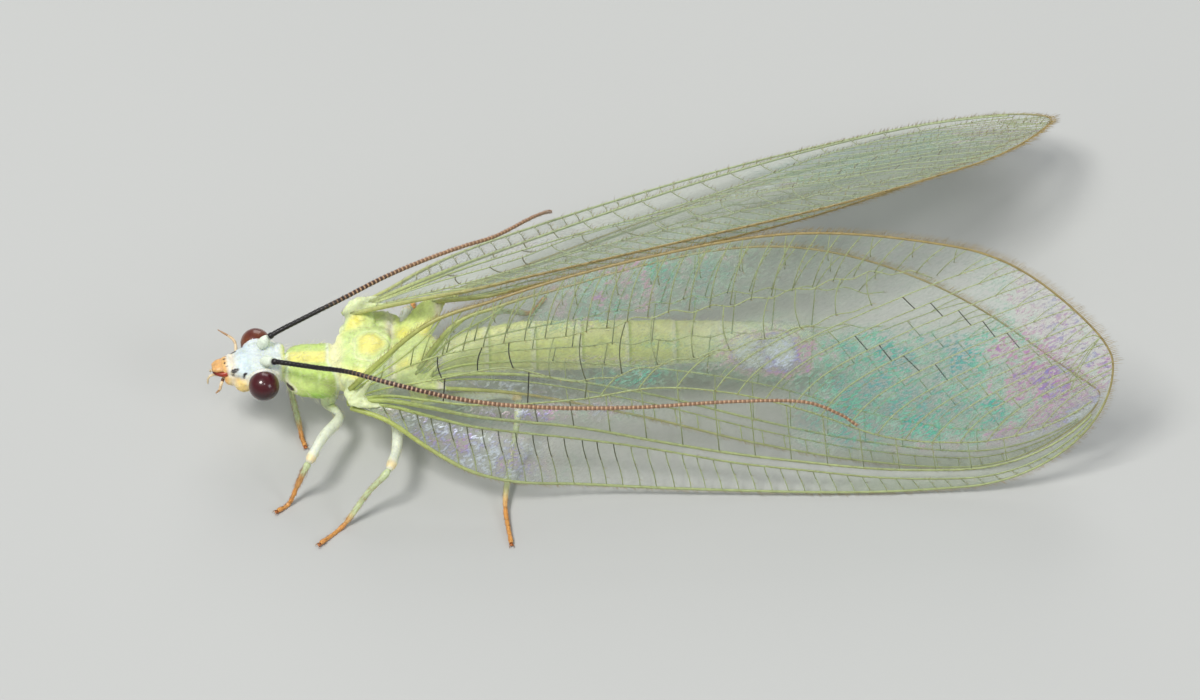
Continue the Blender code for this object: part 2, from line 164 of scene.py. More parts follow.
class Gather:
    """Points, faces, tints and map places, gathered into one mesh."""

    def __init__(self):
        self.points, self.faces, self.tints, self.spots = [], [], [], []
        self.count = 0

    def add(self, shape, tint=(1.0, 1.0, 1.0), spots=(0.5, 0.5)):
        points, faces = shape
        points = np.asarray(points, float)
        if isinstance(faces, np.ndarray):
            self.faces += (faces + self.count).tolist()
        else:
            self.faces += [[corner + self.count for corner in face] for face in faces]
        self.points.append(points)
        self.tints.append(np.broadcast_to(np.asarray(tint, float), (len(points), 3)))
        self.spots.append(np.broadcast_to(np.asarray(spots, float), (len(points), 2)))
        self.count += len(points)

    def build(self, name, look, slot, replaced=(), mapped=False):
        mesh = bpy.data.meshes.new(name)
        places = (np.concatenate(self.points) + SHIFT) * MM
        places[:, 2] = np.maximum(places[:, 2], 0.0)  # nothing reaches below the floor
        mesh.from_pydata(places.tolist(), [], self.faces)
        tints = np.c_[np.concatenate(self.tints), np.ones(self.count)]
        layer = mesh.attributes.new("tint", "FLOAT_COLOR", "POINT")
        layer.data.foreach_set("color", tints.astype(np.float32).ravel())
        if mapped:
            add_map(mesh, np.concatenate(self.spots))
        mesh.materials.append(look)
        mesh.shade_smooth()
        thing = bpy.data.objects.new(name, mesh)
        bpy.context.collection.objects.link(thing)
        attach(thing, "root")
        if replaced:
            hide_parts(*replaced)
        return thing


def add_map(mesh, spots):
    corners = np.zeros(len(mesh.loops), np.int32)
    mesh.loops.foreach_get("vertex_index", corners)
    layer = mesh.uv_layers.new(name="OFBake")
    layer.data.foreach_set("uv", spots[corners].astype(np.float32).ravel())


def ring(centre, across, upward, half_width, top, bottom, sides, power=2.0):
    """A closed outline round a centre, with its own half width, height above and depth below."""
    angles = 2 * np.pi * np.arange(sides) / sides
    c, s = np.cos(angles), np.sin(angles)
    side = np.sign(c) * np.abs(c) ** (2 / power) * half_width
    rise = np.sign(s) * np.abs(s) ** (2 / power) * np.where(s > 0, top, bottom)
    return np.asarray(centre) + side[:, None] * across + rise[:, None] * upward


def loft(rings):
    """Closed rings joined from first to last, each end closed by a fan."""
    rings = np.asarray(rings)
    count, sides = rings.shape[:2]
    points = np.concatenate([rings.reshape(-1, 3), rings[:1].mean(1), rings[-1:].mean(1)])
    k = np.arange(sides)
    following = (k + 1) % sides
    faces = []
    for i in range(count - 1):
        a, b = i * sides + k, i * sides + following
        faces += np.stack([a, b, b + sides, a + sides], 1).tolist()
    first, last, base = count * sides, count * sides + 1, (count - 1) * sides
    faces += [[first, f, a] for a, f in zip(k.tolist(), following.tolist())]
    faces += [[last, base + a, base + f] for a, f in zip(k.tolist(), following.tolist())]
    return points, faces


def along_path(corners, count, start=0.0, end=None):
    """Evenly spread points on a rounded path through the corners, from one corner's number to another's."""
    rows = [(i, *corner) for i, corner in enumerate(corners)]
    end = len(corners) - 1 if end is None else end
    fine = smooth(rows, np.linspace(start, end, 300))
    lengths = np.r_[0, np.cumsum(np.linalg.norm(np.diff(fine, axis=0), axis=1))]
    wanted = np.linspace(0, lengths[-1], count)
    return np.stack([np.interp(wanted, lengths, fine[:, axis]) for axis in range(3)], 1)


def path_rings(path, radii, sides, normals=None, flat=1.0):
    """Rings round a path. Without normals the rings turn as little as they can."""
    path = np.asarray(path, float)
    ahead = unit(np.gradient(path, axis=0))
    radii = np.broadcast_to(np.asarray(radii, float), (len(path),))
    rings, across = [], None
    for i, point in enumerate(path):
        if normals is not None:
            across = unit(np.cross(ahead[i], normals[i]))
        else:
            seed = np.array((0.01, 0.02, 1.0)) if across is None else np.cross(across, ahead[i])
            across = unit(np.cross(ahead[i], seed))
        upward = unit(np.cross(across, ahead[i]))
        size = radii[i]
        rings.append(ring(point, across, -upward, size, size * flat, size * flat, sides))
    return np.array(rings)


def tube(path, radii, sides=8, normals=None, flat=1.0):
    return loft(path_rings(path, radii, sides, normals, flat))


def ringed(tints, sides):
    """One tint for each ring of a tube, repeated round it, and for its two ends."""
    return np.r_[np.repeat(tints, sides, axis=0), tints[:1], tints[-1:]]


def ball(centre, sizes, rings=24, sides=36, axes=None):
    """A stretched ball round a centre, with its half sizes along its axes."""
    axes = np.eye(3) if axes is None else np.asarray(axes)
    rows = []
    for angle in np.pi * (np.arange(rings) + 0.5) / rings:
        wide, low = math.sin(angle), math.cos(angle)
        middle = np.asarray(centre) - low * sizes[2] * axes[2]
        rows.append(ring(middle, axes[0] * sizes[0], axes[1] * sizes[1], wide, wide, wide, sides))
    return loft(rows)


def hairs(gather, roots, ways, lengths, radii, bend, tint, spots):
    """Thin three-sided hairs. Each bends over, and its map place is a small patch at its root's."""
    roots, ways = np.asarray(roots, float), unit(ways)
    count = len(roots)
    lengths = np.broadcast_to(np.asarray(lengths, float), (count,))[:, None]
    radii = np.broadcast_to(np.asarray(radii, float), (count,))[:, None]
    side = unit(np.cross(ways, np.array((0.31, 0.17, 0.93))))
    over = np.cross(side, ways)
    bend = np.asarray(bend, float) * lengths
    rows = []
    for share, thick in ((-0.03, 1.0), (0.5, 0.7)):
        middle = roots + ways * lengths * share + bend * max(share, 0.0) ** 2
        for angle in THIRDS:
            rows.append(middle + radii * thick * (math.cos(angle) * side + math.sin(angle) * over))
    rows.append(roots + ways * lengths + bend)
    points = np.stack(rows, 1).reshape(-1, 3)
    pattern = np.array(
        ((0, 2, 1), (0, 1, 4), (0, 4, 3), (1, 2, 5), (1, 5, 4), (2, 0, 3), (2, 3, 5),
         (3, 4, 6), (4, 5, 6), (5, 3, 6))
    )
    faces = (pattern[None] + 7 * np.arange(count)[:, None, None]).reshape(-1, 3)
    corners = np.array([(math.cos(a), math.sin(a)) for a in THIRDS] * 2 + [(0.0, 0.0)])
    patch = np.broadcast_to(np.asarray(spots, float), (count, 2))[:, None] + 0.0015 * corners
    tints = np.repeat(np.broadcast_to(np.asarray(tint, float), (count, 3)), 7, axis=0)
    gather.add((points, faces), tints, patch.reshape(-1, 2))


# Materials


NOISE = ("ShaderNodeTexNoise", "Fac")
CELLS = ("ShaderNodeTexVoronoi", "Distance")

# The colours of the film's painted glints, from blue through teal, rose and violet to white
SHEEN = (
    (0.0, (60, 190, 205)), (0.2, (80, 225, 190)), (0.38, (185, 240, 222)), (0.52, (246, 186, 220)),
    (0.68, (216, 156, 224)), (0.84, (176, 168, 238)), (1.0, (232, 240, 255)),
)


class Look:
    """A material, with short ways to add its nodes and join them."""

    def __init__(self, name):
        self.material = bpy.data.materials.new(name)
        self.material.use_nodes = True
        self.nodes, self.links = self.material.node_tree.nodes, self.material.node_tree.links
        self.shader = self.nodes["Principled BSDF"]

    def feed(self, socket, value):
        """Joins another socket to this one, or sets it to a number or a colour."""
        if isinstance(value, bpy.types.NodeSocket):
            self.links.new(value, socket)
        elif isinstance(value, (int, float)):
            socket.default_value = value
        else:
            socket.default_value = (*value, 1.0)

    def wear(self, values):
        for name, value in values.items():
            self.feed(self.shader.inputs[name], value)

    def tint(self):
        made = self.nodes.new("ShaderNodeVertexColor")
        made.layer_name = "tint"
        return made.outputs["Color"]

    def texture(self, kind, size, detail=2.0, place=None):
        """Noise or cells with features of that size in millimetres."""
        node_kind, output = kind
        made = self.nodes.new(node_kind)
        made.inputs["Scale"].default_value = 1.0 / (size * MM)
        made.inputs["Detail"].default_value = detail
        self.feed(made.inputs["Vector"], place or self.nodes.new("ShaderNodeTexCoord").outputs["Object"])
        return made.outputs[output]

    def stretched(self, axes, stretch):
        """Places turned to the wing's branches, and stretched along them."""
        place = self.nodes.new("ShaderNodeTexCoord").outputs["Object"]
        joined = self.nodes.new("ShaderNodeCombineXYZ")
        for number, axis in enumerate(axes):
            part = self.nodes.new("ShaderNodeVectorMath")
            part.operation = "DOT_PRODUCT"
            part.inputs[1].default_value = axis * (stretch if number == 0 else 1.0)
            self.feed(part.inputs[0], place)
            self.feed(joined.inputs[number], part.outputs["Value"])
        return joined.outputs[0]

    def ranged(self, source, low, high, to_low, to_high):
        made = self.nodes.new("ShaderNodeMapRange")
        ends = {"From Min": low, "From Max": high, "To Min": to_low, "To Max": to_high, "Value": source}
        for name, value in ends.items():
            self.feed(made.inputs[name], value)
        return made.outputs["Result"]

    def reckoned(self, kind, *values):
        """One sum or product of sockets and numbers."""
        made = self.nodes.new("ShaderNodeMath")
        made.operation = kind
        for socket, value in zip(made.inputs, values):
            self.feed(socket, value)
        return made.outputs[0]

    def mixed(self, share, first, second):
        """Two colours mixed by a share; either may be a socket or three numbers."""
        made = self.nodes.new("ShaderNodeMix")
        made.data_type = "RGBA"
        for socket, value in zip((made.inputs[0], made.inputs[6], made.inputs[7]), (share, first, second)):
            self.feed(socket, value)
        return made.outputs[2]

    def ramped(self, share, stops):
        """The colour at a share of the way through the stops."""
        made = self.nodes.new("ShaderNodeValToRGB")
        while len(made.color_ramp.elements) < len(stops):
            made.color_ramp.elements.new(0.5)
        for element, (place, colour) in zip(made.color_ramp.elements, stops):
            element.position = place
            element.color = (*screen(*colour), 1.0)
        self.feed(made.inputs["Fac"], share)
        return made.outputs["Color"]

    def bumped(self, height, depth):
        made = self.nodes.new("ShaderNodeBump")
        made.inputs["Distance"].default_value = depth * MM
        self.feed(made.inputs["Height"], height)
        self.feed(self.shader.inputs["Normal"], made.outputs["Normal"])


def shell_look(name, size, roughness, depth, contrast, flesh=0.0):
    """A painted shell: its tint mottled by noise of that size, finely bumped, with uneven gloss."""
    look = Look(name)
    broad = look.texture(NOISE, size * 4, 3.0)
    fine = look.texture(NOISE, size, 4.0)
    shade = look.ranged(broad, 0.3, 0.7, 1.0 - contrast, 1.0 + contrast)
    speck = look.ranged(fine, 0.35, 0.65, 1.0 - contrast / 2, 1.0 + contrast / 2)
    scaled = look.nodes.new("ShaderNodeVectorMath")
    scaled.operation = "SCALE"
    look.feed(scaled.inputs[0], look.tint())
    look.feed(scaled.inputs["Scale"], look.reckoned("MULTIPLY", shade, speck))
    look.wear({
        "Base Color": scaled.outputs[0],
        "Roughness": look.ranged(fine, 0.3, 0.7, roughness - 0.1, roughness + 0.12),
        "Subsurface Weight": flesh,
        "Subsurface Scale": 0.25 * MM,
    })
    look.shader.inputs["Subsurface Radius"].default_value = (1.0, 0.9, 0.4)
    look.bumped(fine, depth)
    return look.material


def shared_look(name, *sizes, **more):
    """The shell look of that name, made once."""
    return bpy.data.materials.get(name) or shell_look(name, *sizes, **more)


def hair_look():
    return shared_look("fine_hair", 0.03, 0.5, 0.001, 0.15)


def eye_look():
    """Dark maroon with red patches of painted glow, set with fine round facets under a clear gloss."""
    look = Look("eye_facets")
    cells = look.texture(CELLS, 0.019)
    # Red patches picked by noise: painted glow standing in for the eye's reddish highlights
    painted_glow = look.texture(NOISE, 0.25)
    dark = look.mixed(look.ranged(painted_glow, 0.4, 0.65, 0.0, 0.7), look.tint(), (0.16, 0.004, 0.012))
    rim = look.ranged(cells, 0.3, 0.65, 0.0, 0.55)
    look.wear({
        "Base Color": look.mixed(rim, dark, (0.006, 0.001, 0.002)),
        "Roughness": look.ranged(cells, 0.0, 0.6, 0.16, 0.34),
        "Specular IOR Level": 0.3,
        "Coat Weight": 0.7,
        "Coat Roughness": 0.04,
    })
    look.bumped(look.ranged(cells, 0.0, 0.6, 1.0, 0.0), 0.003)
    return look.material


def membrane_look(name, clear, body, axes):
    """Clear film with glints painted into its colour and alpha, in streaks of teal, rose and violet where
    the tint says so; the tint's milky share also carries a painted glare.
    """
    look = Look(name)
    parts = look.nodes.new("ShaderNodeSeparateColor")
    look.feed(parts.inputs[0], look.tint())
    glint, tone, milk_and_glare = parts.outputs
    broad = look.texture(NOISE, 0.45)
    fine = look.texture(NOISE, 0.055, 3.0, look.stretched(axes, 0.42))
    # Painted glints: where the tint asks for them, streaks of colour and extra alpha stand in for
    # reflections
    sheen = look.reckoned("MULTIPLY", glint, look.ranged(fine, 0.46, 0.60, 0.0, 1.0))
    drift = look.ranged(broad, 0.3, 0.7, -0.26, 0.26)
    flicker = look.ranged(fine, 0.45, 0.7, -0.10, 0.16)
    hue = look.reckoned("ADD", look.reckoned("ADD", tone, drift), flicker)
    pale = look.mixed(broad, body * 0.85, body)
    coloured = look.reckoned("MULTIPLY_ADD", glint, 0.35, look.reckoned("MULTIPLY", sheen, 0.65))
    lit = look.reckoned("MULTIPLY_ADD", sheen, 0.58, look.reckoned("MULTIPLY", glint, 0.10))
    film = look.reckoned("MULTIPLY_ADD", milk_and_glare, 0.45, clear)
    look.wear({
        "Base Color": look.mixed(coloured, pale, look.ramped(hue, SHEEN)),
        "Alpha": look.reckoned("ADD", lit, film),
        "Roughness": look.ranged(fine, 0.3, 0.7, 0.14, 0.36),
        "Metallic": look.reckoned("MULTIPLY", sheen, 0.7),
    })
    look.bumped(fine, 0.012)
    return look.material


# Head


# Dark marks on the face: forward, aside, half length and half width
FACE_MARKS = (
    (0.62, 0.29, 0.115, 0.055), (0.40, 0.43, 0.06, 0.03), (0.84, 0.07, 0.03, 0.03), (0.80, 0.16, 0.03, 0.02),
)


def head_point(forward, left, up):
    """A place on the head: forward, to its left and up from midway between the eyes."""
    c, s = math.cos(HEAD_YAW), math.sin(HEAD_YAW)
    turned = np.array((-forward * c + left * s, -forward * s - left * c, up))
    return EYE_MIDDLE + turned


def head_places(points):
    """Forward, left and up on the head for each point."""
    c, s = math.cos(HEAD_YAW), math.sin(HEAD_YAW)
    d = points - EYE_MIDDLE
    return -d[:, 0] * c - d[:, 1] * s, d[:, 0] * s - d[:, 1] * c, d[:, 2]


def head_axes():
    ahead = unit(head_point(1, 0, 0) - EYE_MIDDLE)
    left = unit(head_point(0, 1, 0) - EYE_MIDDLE)
    return np.array((ahead, left, UP))


def head_loft(rows, count, sides, power):
    """A closed form along the head, from rows of forward, half width, height above and depth below."""
    across = -head_axes()[1]
    rings = []
    for forward in np.linspace(rows[0][0], rows[-1][0], count):
        half_width, top, bottom = smooth(rows, forward)[0]
        rings.append(ring(head_point(forward, 0, 0), across, UP, half_width, top, bottom, sides, power))
    points, faces = loft(rings)
    return points, [face[::-1] for face in faces]


def head_solids():
    """The head's capsule with its brow, cheeks, face plate, feeler bases, eye rims and neck."""
    rows = (
        (-0.56, 0.30, 0.10, 0.30),
        (-0.36, 0.58, 0.20, 0.44),
        (-0.05, 0.64, 0.22, 0.52),
        (0.25, 0.53, 0.20, 0.52),
        (0.50, 0.41, 0.17, 0.46),
        (0.72, 0.30, 0.14, 0.36),
        (0.90, 0.21, 0.10, 0.22),
    )
    shapes = [head_loft(rows, 48, 72, 2.3)]
    axes = head_axes()
    lumps = (
        ((0.36, 0.00, 0.12), (0.28, 0.26, 0.12)),
        ((0.78, 0.00, 0.07), (0.15, 0.22, 0.09)),
        ((-0.22, 0.27, 0.18), (0.17, 0.15, 0.12)),
        ((-0.22, -0.27, 0.18), (0.17, 0.15, 0.12)),
        ((-0.45, 0.22, 0.10), (0.16, 0.20, 0.14)),
        ((-0.45, -0.22, 0.10), (0.16, 0.20, 0.14)),
        ((0.02, 0.44, 0.06), (0.24, 0.16, 0.15)),
        ((0.02, -0.40, 0.06), (0.24, 0.16, 0.15)),
        ((0.40, 0.38, -0.28), (0.26, 0.20, 0.22)),
        ((0.40, -0.36, -0.28), (0.26, 0.18, 0.22)),
        ((0.66, 0.26, -0.22), (0.22, 0.15, 0.18)),
        ((0.66, -0.26, -0.22), (0.22, 0.15, 0.18)),
        ((0.62, 0.29, 0.04), (0.11, 0.06, 0.05)),
    )
    for place, sizes in lumps:
        shapes.append(ball(head_point(*place), sizes, axes=axes))
    shapes += [eye_rim(eye) for eye in EYES.values()]
    neck = np.array((head_point(-0.45, 0, -0.12), (-1.50, 0.16, 1.72), (-1.20, BODY_Y, 1.62)))
    radii = (0.36, 0.35, 0.34, 0.34, 0.34, 0.35, 0.36, 0.38, 0.40, 0.41, 0.42, 0.42)
    shapes.append(tube(along_path(neck, len(radii)), radii, 40))
    return shapes


def eye_rim(eye):
    """A low collar round the eye, where it leaves the head."""
    outward = unit(head_point(0, np.sign(eye[1]), 0) - EYE_MIDDLE)
    centre = head_point(*eye) - 0.17 * outward
    first = unit(np.cross(outward, UP))
    second = np.cross(outward, first)
    rings = []
    for turn in np.linspace(0, 2 * np.pi, 49)[:-1]:
        spoke = math.cos(turn) * first + math.sin(turn) * second
        rings.append(ring(centre + 0.315 * spoke, spoke, outward, 0.035, 0.03, 0.10, 10))
    return hoop(rings)


def hoop(rings):
    """Rings joined round in a closed hoop."""
    rings = np.asarray(rings)
    count, sides = rings.shape[:2]
    k = np.arange(sides)
    following = (k + 1) % sides
    faces = []
    for i in range(count):
        a, b = i * sides, (i + 1) % count * sides
        faces += np.stack([a + k, a + following, b + following, b + k], 1).tolist()
    return rings.reshape(-1, 3), faces


# Thorax and abdomen


SHIELD = (0.56, 0.26)


def from_shield(x, y):
    """Distance from the middle of the yellow shield on the back, 1 at its blunt five-sided rim."""
    ahead, aside = (x - SHIELD[0]) / 0.38, (y - SHIELD[1]) / 0.42
    turn = np.arctan2(aside, ahead)
    return np.hypot(ahead, aside) * (1.0 + 0.07 * np.cos(3 * turn + np.pi) - 0.05 * np.cos(5 * turn))


# Rows of x, y, z, half width, top and bottom from the neck to the tail
BODY_ROWS = (
    (-1.46, BODY_Y, 1.64, 0.40, 0.28, 0.28),
    (-1.38, BODY_Y, 1.62, 0.54, 0.35, 0.35),
    (-1.22, BODY_Y, 1.59, 0.67, 0.40, 0.42),
    (-0.85, BODY_Y, 1.55, 0.74, 0.43, 0.45),
    (-0.50, BODY_Y, 1.54, 0.75, 0.44, 0.45),
    (-0.34, BODY_Y, 1.56, 0.68, 0.41, 0.40),
    (-0.22, BODY_Y, 1.59, 0.58, 0.37, 0.38),
    (-0.12, BODY_Y + 0.03, 1.61, 0.66, 0.46, 0.42),
    (0.05, BODY_Y + 0.08, 1.64, 0.84, 0.57, 0.54),
    (0.50, BODY_Y + 0.11, 1.68, 0.95, 0.62, 0.63),
    (0.95, BODY_Y + 0.10, 1.69, 0.88, 0.58, 0.60),
    (1.16, BODY_Y + 0.10, 1.69, 0.68, 0.47, 0.50),
    (1.30, BODY_Y + 0.11, 1.68, 0.64, 0.46, 0.48),
    (1.50, BODY_Y + 0.12, 1.69, 0.73, 0.53, 0.55),
    (1.80, BODY_Y + 0.13, 1.69, 0.69, 0.51, 0.54),
    (2.04, BODY_Y + 0.16, 1.70, 0.50, 0.41, 0.42),
    (2.20, 0.33, 1.69, 0.40, 0.36, 0.38),
    (2.50, 0.37, 1.70, 0.46, 0.43, 0.44),
    (3.60, 0.48, 1.76, 0.56, 0.53, 0.54),
    (6.00, 0.49, 1.80, 0.55, 0.53, 0.53),
    (8.50, 0.49, 1.79, 0.48, 0.46, 0.46),
    (10.0, 0.49, 1.78, 0.38, 0.36, 0.38),
    (10.7, 0.49, 1.77, 0.27, 0.26, 0.28),
    (ABDOMEN_END - 0.02, 0.49, 1.76, 0.14, 0.14, 0.16),
)


def body_axis(x):
    """Y, Z, half width, top and bottom of the body at each x."""
    return smooth(BODY_ROWS, x).T


def body_solids():
    """The trunk, the lobes on its back, the wing hinges and the hips."""
    across = np.array((0.0, 1.0, 0.0))
    rings = []
    for x in np.arange(BODY_ROWS[0][0], BODY_ROWS[-1][0], 0.03):
        y, z, half_width, top, bottom = smooth(BODY_ROWS, x)[0]
        rings.append(ring((x, y, z), across, UP, half_width, top, bottom, 72, 2.15))
    shapes = [loft(rings)]
    y = BODY_Y
    pairs = (
        ((0.10, 0.40, 1.98), (0.37, 0.32, 0.22)),
        ((-0.24, 0.20, 1.86), (0.17, 0.24, 0.15)),
        ((0.20, 0.78, 1.82), (0.26, 0.20, 0.20)),
        ((0.82, 0.60, 1.86), (0.22, 0.24, 0.20)),
        ((1.34, 0.50, 1.94), (0.22, 0.24, 0.16)),
        ((0.28, 0.78, 1.94), (0.46, 0.32, 0.17)),
        ((1.48, 0.70, 1.88), (0.40, 0.30, 0.16)),
        ((1.86, 0.42, 1.92), (0.20, 0.24, 0.15)),
        ((0.10, 0.62, 1.55), (0.20, 0.26, 0.30)),
        ((0.70, 0.66, 1.45), (0.26, 0.24, 0.32)),
        ((1.60, 0.48, 1.42), (0.24, 0.20, 0.26)),
        ((-0.75, 0.52, 1.40), (0.34, 0.20, 0.24)),
    )
    for (x, aside, z), sizes in pairs:
        for side in (-1, 1):
            shapes.append(ball((x, y + 0.09 + side * aside, z), sizes))
    middles = (
        ((SHIELD[0], SHIELD[1], 2.17), (0.37, 0.39, 0.19)),
        ((1.50, 0.24, 2.06), (0.30, 0.30, 0.17)),
        ((2.08, 0.30, 2.02), (0.12, 0.20, 0.10)),
    )
    for place, sizes in middles:
        shapes.append(ball(place, sizes))
    return shapes


def hinge_solids():
    """The folded plates that carry each wing out from the thorax and taper into its front veins."""
    shapes = []
    starts = ((0.35, -0.45, 2.00), (1.45, -0.30, 1.92), (0.35, 0.90, 2.02), (1.45, 0.78, 1.92))
    widths = np.interp(np.linspace(0, 1, 14), (0, 0.5, 0.75, 1), (0.40, 0.30, 0.16, 0.035))
    for start, (wing, _, _) in zip(starts, wing_list()):
        base, outer = wing.place((0.014, 0.05), (0.002, -0.012))
        lip = wing.place((0.035,), (0.028,))[0]
        path = along_path((start, (np.array(start) + 2 * base) / 3 + (0, 0, 0.03), base, outer), 14)
        shapes.append(tube(path, widths, 28, flat=0.42))
        shapes.append(tube(along_path((path[5], base, lip), 10), np.linspace(0.20, 0.03, 10), 20, flat=0.5))
        shapes.append(ball(path[7] + (0.02, 0, 0.05), (0.16, 0.09, 0.09)))
    far_web = ball((0.84, 1.18, 2.00), (0.46, 0.42, 0.06))
    shapes.append(far_web)
    return shapes


LEGS = {
    "fore_left": ((-0.50, -0.15, 0.72), (-0.22, -0.80, 0.93), (-0.62, -1.60, 1.12),
                  (-0.97, -2.34, 1.06), (-1.22, -2.48, 0.52), (-1.45, -2.70, 0.07), (-1.72, -2.92, 0.07)),
    "middle_left": ((0.55, -0.20, 0.66), (1.05, -0.90, 0.92), (1.12, -1.80, 1.08),
                    (0.90, -2.72, 1.16), (0.40, -3.02, 0.72), (-0.20, -3.45, 0.07), (-0.74, -3.98, 0.07)),
    "hind_left": ((1.62, -0.18, 0.74), (2.60, -0.36, 1.00), (3.80, -0.58, 1.32),
                  (3.98, -0.92, 1.18), (3.78, -1.90, 0.52), (3.60, -3.00, 0.18), (3.70, -4.14, 0.07)),
    "fore_right": ((-0.72, 0.60, 0.74), (-1.12, 0.90, 0.84), (-1.40, 0.72, 0.92),
                   (-1.34, 0.26, 0.72), (-1.20, -0.26, 0.34), (-1.12, -0.60, 0.07), (-1.05, -0.88, 0.07)),
    "middle_right": ((0.55, 0.58, 0.66), (1.00, 1.30, 0.90), (1.30, 2.00, 1.10),
                     (1.48, 2.55, 1.00), (1.60, 2.92, 0.50), (1.66, 3.20, 0.07), (1.60, 3.66, 0.07)),
    "hind_right": ((1.62, 0.62, 0.74), (2.30, 1.14, 0.94), (3.00, 1.80, 1.12),
                   (3.50, 2.35, 1.02), (4.00, 2.85, 0.50), (4.40, 3.20, 0.07), (4.75, 3.65, 0.07)),
}

# Where each leg's knee and ankle lie, counted in its corners
KNEES = {
    "fore_left": 3.0, "middle_left": 3.0, "hind_left": 2.75,
    "fore_right": 2.4, "middle_right": 3.0, "hind_right": 3.0,
}
ANKLES = {
    "fore_left": 4.2, "middle_left": 4.9, "hind_left": 5.1,
    "fore_right": 4.6, "middle_right": 4.7, "hind_right": 4.8,
}


def hip_solids():
    """A short cone from the body down to each leg."""
    shapes = []
    for corners in LEGS.values():
        hip = np.array(corners[0])
        top = np.array((hip[0] + 0.05, hip[1] + (0.0 if hip[1] < BODY_Y else -0.05), 1.30))
        path = along_path((top, (hip + top) / 2 + (0.03, 0, 0), hip), 10)
        shapes.append(tube(path, np.linspace(0.27, 0.16, 10), 24))
    return shapes


def remeshed(shapes, voxel, rounds):
    """Overlapping closed shapes drawn over with one even skin, and smoothed."""
    mesh = bpy.data.meshes.new("skin_source")
    points, faces, count = [], [], 0
    for shape_points, shape_faces in shapes:
        points.append(shape_points)
        faces += [[corner + count for corner in face] for face in shape_faces]
        count += len(shape_points)
    mesh.from_pydata(np.concatenate(points).tolist(), [], faces)
    thing = bpy.data.objects.new("skin_source", mesh)
    bpy.context.collection.objects.link(thing)
    skin = thing.modifiers.new("skin", "REMESH")
    skin.mode = "VOXEL"
    skin.voxel_size = voxel
    even = thing.modifiers.new("even", "SMOOTH")
    even.factor = 0.5
    even.iterations = rounds
    bpy.context.view_layer.update()
    drawn = bpy.data.meshes.new_from_object(thing.evaluated_get(bpy.context.evaluated_depsgraph_get()))
    points = np.zeros(len(drawn.vertices) * 3, np.float32)
    normals = np.zeros(len(drawn.vertices) * 3, np.float32)
    drawn.vertices.foreach_get("co", points)
    drawn.vertex_normals.foreach_get("vector", normals)
    faces = [list(face.vertices) for face in drawn.polygons]
    bpy.data.objects.remove(thing)
    bpy.data.meshes.remove(drawn)
    return points.reshape(-1, 3).astype(float), normals.reshape(-1, 3).astype(float), faces


def segment_turns(x):
    """How many abdomen segments lie before x."""
    return ABDOMEN_RINGS * (x - ABDOMEN_START) / (ABDOMEN_END - ABDOMEN_START)


def relief(points):
    """How far each point of the skin is raised along its normal."""
    x, y, z = points.T
    axis_y, axis_z = body_axis(x)[:2]
    back = step_up(z - axis_z, -0.1, 0.2)
    collar = (1 - step_up(x, -0.2, -0.1)) * step_up(x, -1.5, -1.4)
    thorax = step_up(x, -0.1, 0.0) * (1 - step_up(x, 2.0, 2.2))
    raised = abdomen_relief(points, z - axis_z, back) + head_relief(points)
    raised += collar * collar_relief(x, back) + thorax * thorax_relief(points, np.abs(y - axis_y), back)
    return raised + (collar + thorax) * 0.010 * grain(points, 0.16, 2)


def abdomen_relief(points, height, back):
    """Overlapping rings, a fold along each side, and fine wrinkles."""
    x = points[:, 0]
    turns = segment_turns(x)
    phase = turns - np.floor(turns)
    raised = 0.030 * phase**3 * (1 - step_up(phase, 0.93, 1.0)) - 0.014 * bump(phase, 0.0, 0.06)
    raised += 0.010 * grain(points * (1.0, 0.5, 0.5), 0.35, 1)
    raised -= 0.020 * bump(height, -0.12, 0.05)
    raised += 0.006 * np.sin(2 * np.pi * 3 * phase + 1.0) * back
    return raised * step_up(x, 2.25, 2.5) * (1 - step_up(x, 10.6, 11.0))


def collar_relief(x, back):
    """Two grooves across the collar, and its raised rear edge."""
    grooves = bump(x, -1.14, 0.04) + 0.8 * bump(x, -0.70, 0.05)
    return 0.016 * bump(x, -0.44, 0.06) - 0.016 * grooves * back


def thorax_relief(points, aside, back):
    """The shield's rim, the seams before and behind it, folds round it, and rough wing roots."""
    x, y, _ = points.T
    shield = from_shield(x, y)
    raised = 0.012 * bump(shield, 0.95, 0.07) - 0.050 * bump(shield, 1.12, 0.08)
    raised -= 0.050 * bump(y, SHIELD[1], 0.035) * (1 - step_up(x, 0.12, 0.22))
    raised = (raised - 0.050 * bump(x, 1.07, 0.05)) * back
    folds = step_up(shield, 1.15, 1.4) * (1 - step_up(x, 1.0, 1.1))
    raised += folds * 0.006 * np.sin(26 * np.arctan2(y - SHIELD[1], x - SHIELD[0]))
    rough = (bump(x, 1.05, 0.14) + bump(x, 2.16, 0.12)) * step_up(aside, 0.1, 0.3)
    rough += 0.7 * step_up(aside, 0.75, 0.95)
    return raised + rough * 0.028 * grain(points, 0.075, 6)


def head_relief(points):
    """Wrinkles, and the grooves that part the face plate, the brow and the cheeks."""
    forward, left, up = head_places(points)
    raised = 0.012 * grain(points, 0.075, 3) + 0.012 * grain(points, 0.20, 4)
    raised -= 0.018 * bump(forward, 0.66, 0.025) * step_up(up, -0.1, 0.1)
    raised -= 0.014 * bump(left, 0.0, 0.02) * bump(forward, 0.0, 0.35) * step_up(up, 0.1, 0.2)
    raised -= 0.022 * bump(np.abs(left) - 0.26 - 0.25 * forward, 0.0, 0.025) * bump(forward, 0.2, 0.2)
    return raised * (1 - step_up(points[:, 0], -1.62, -1.45))


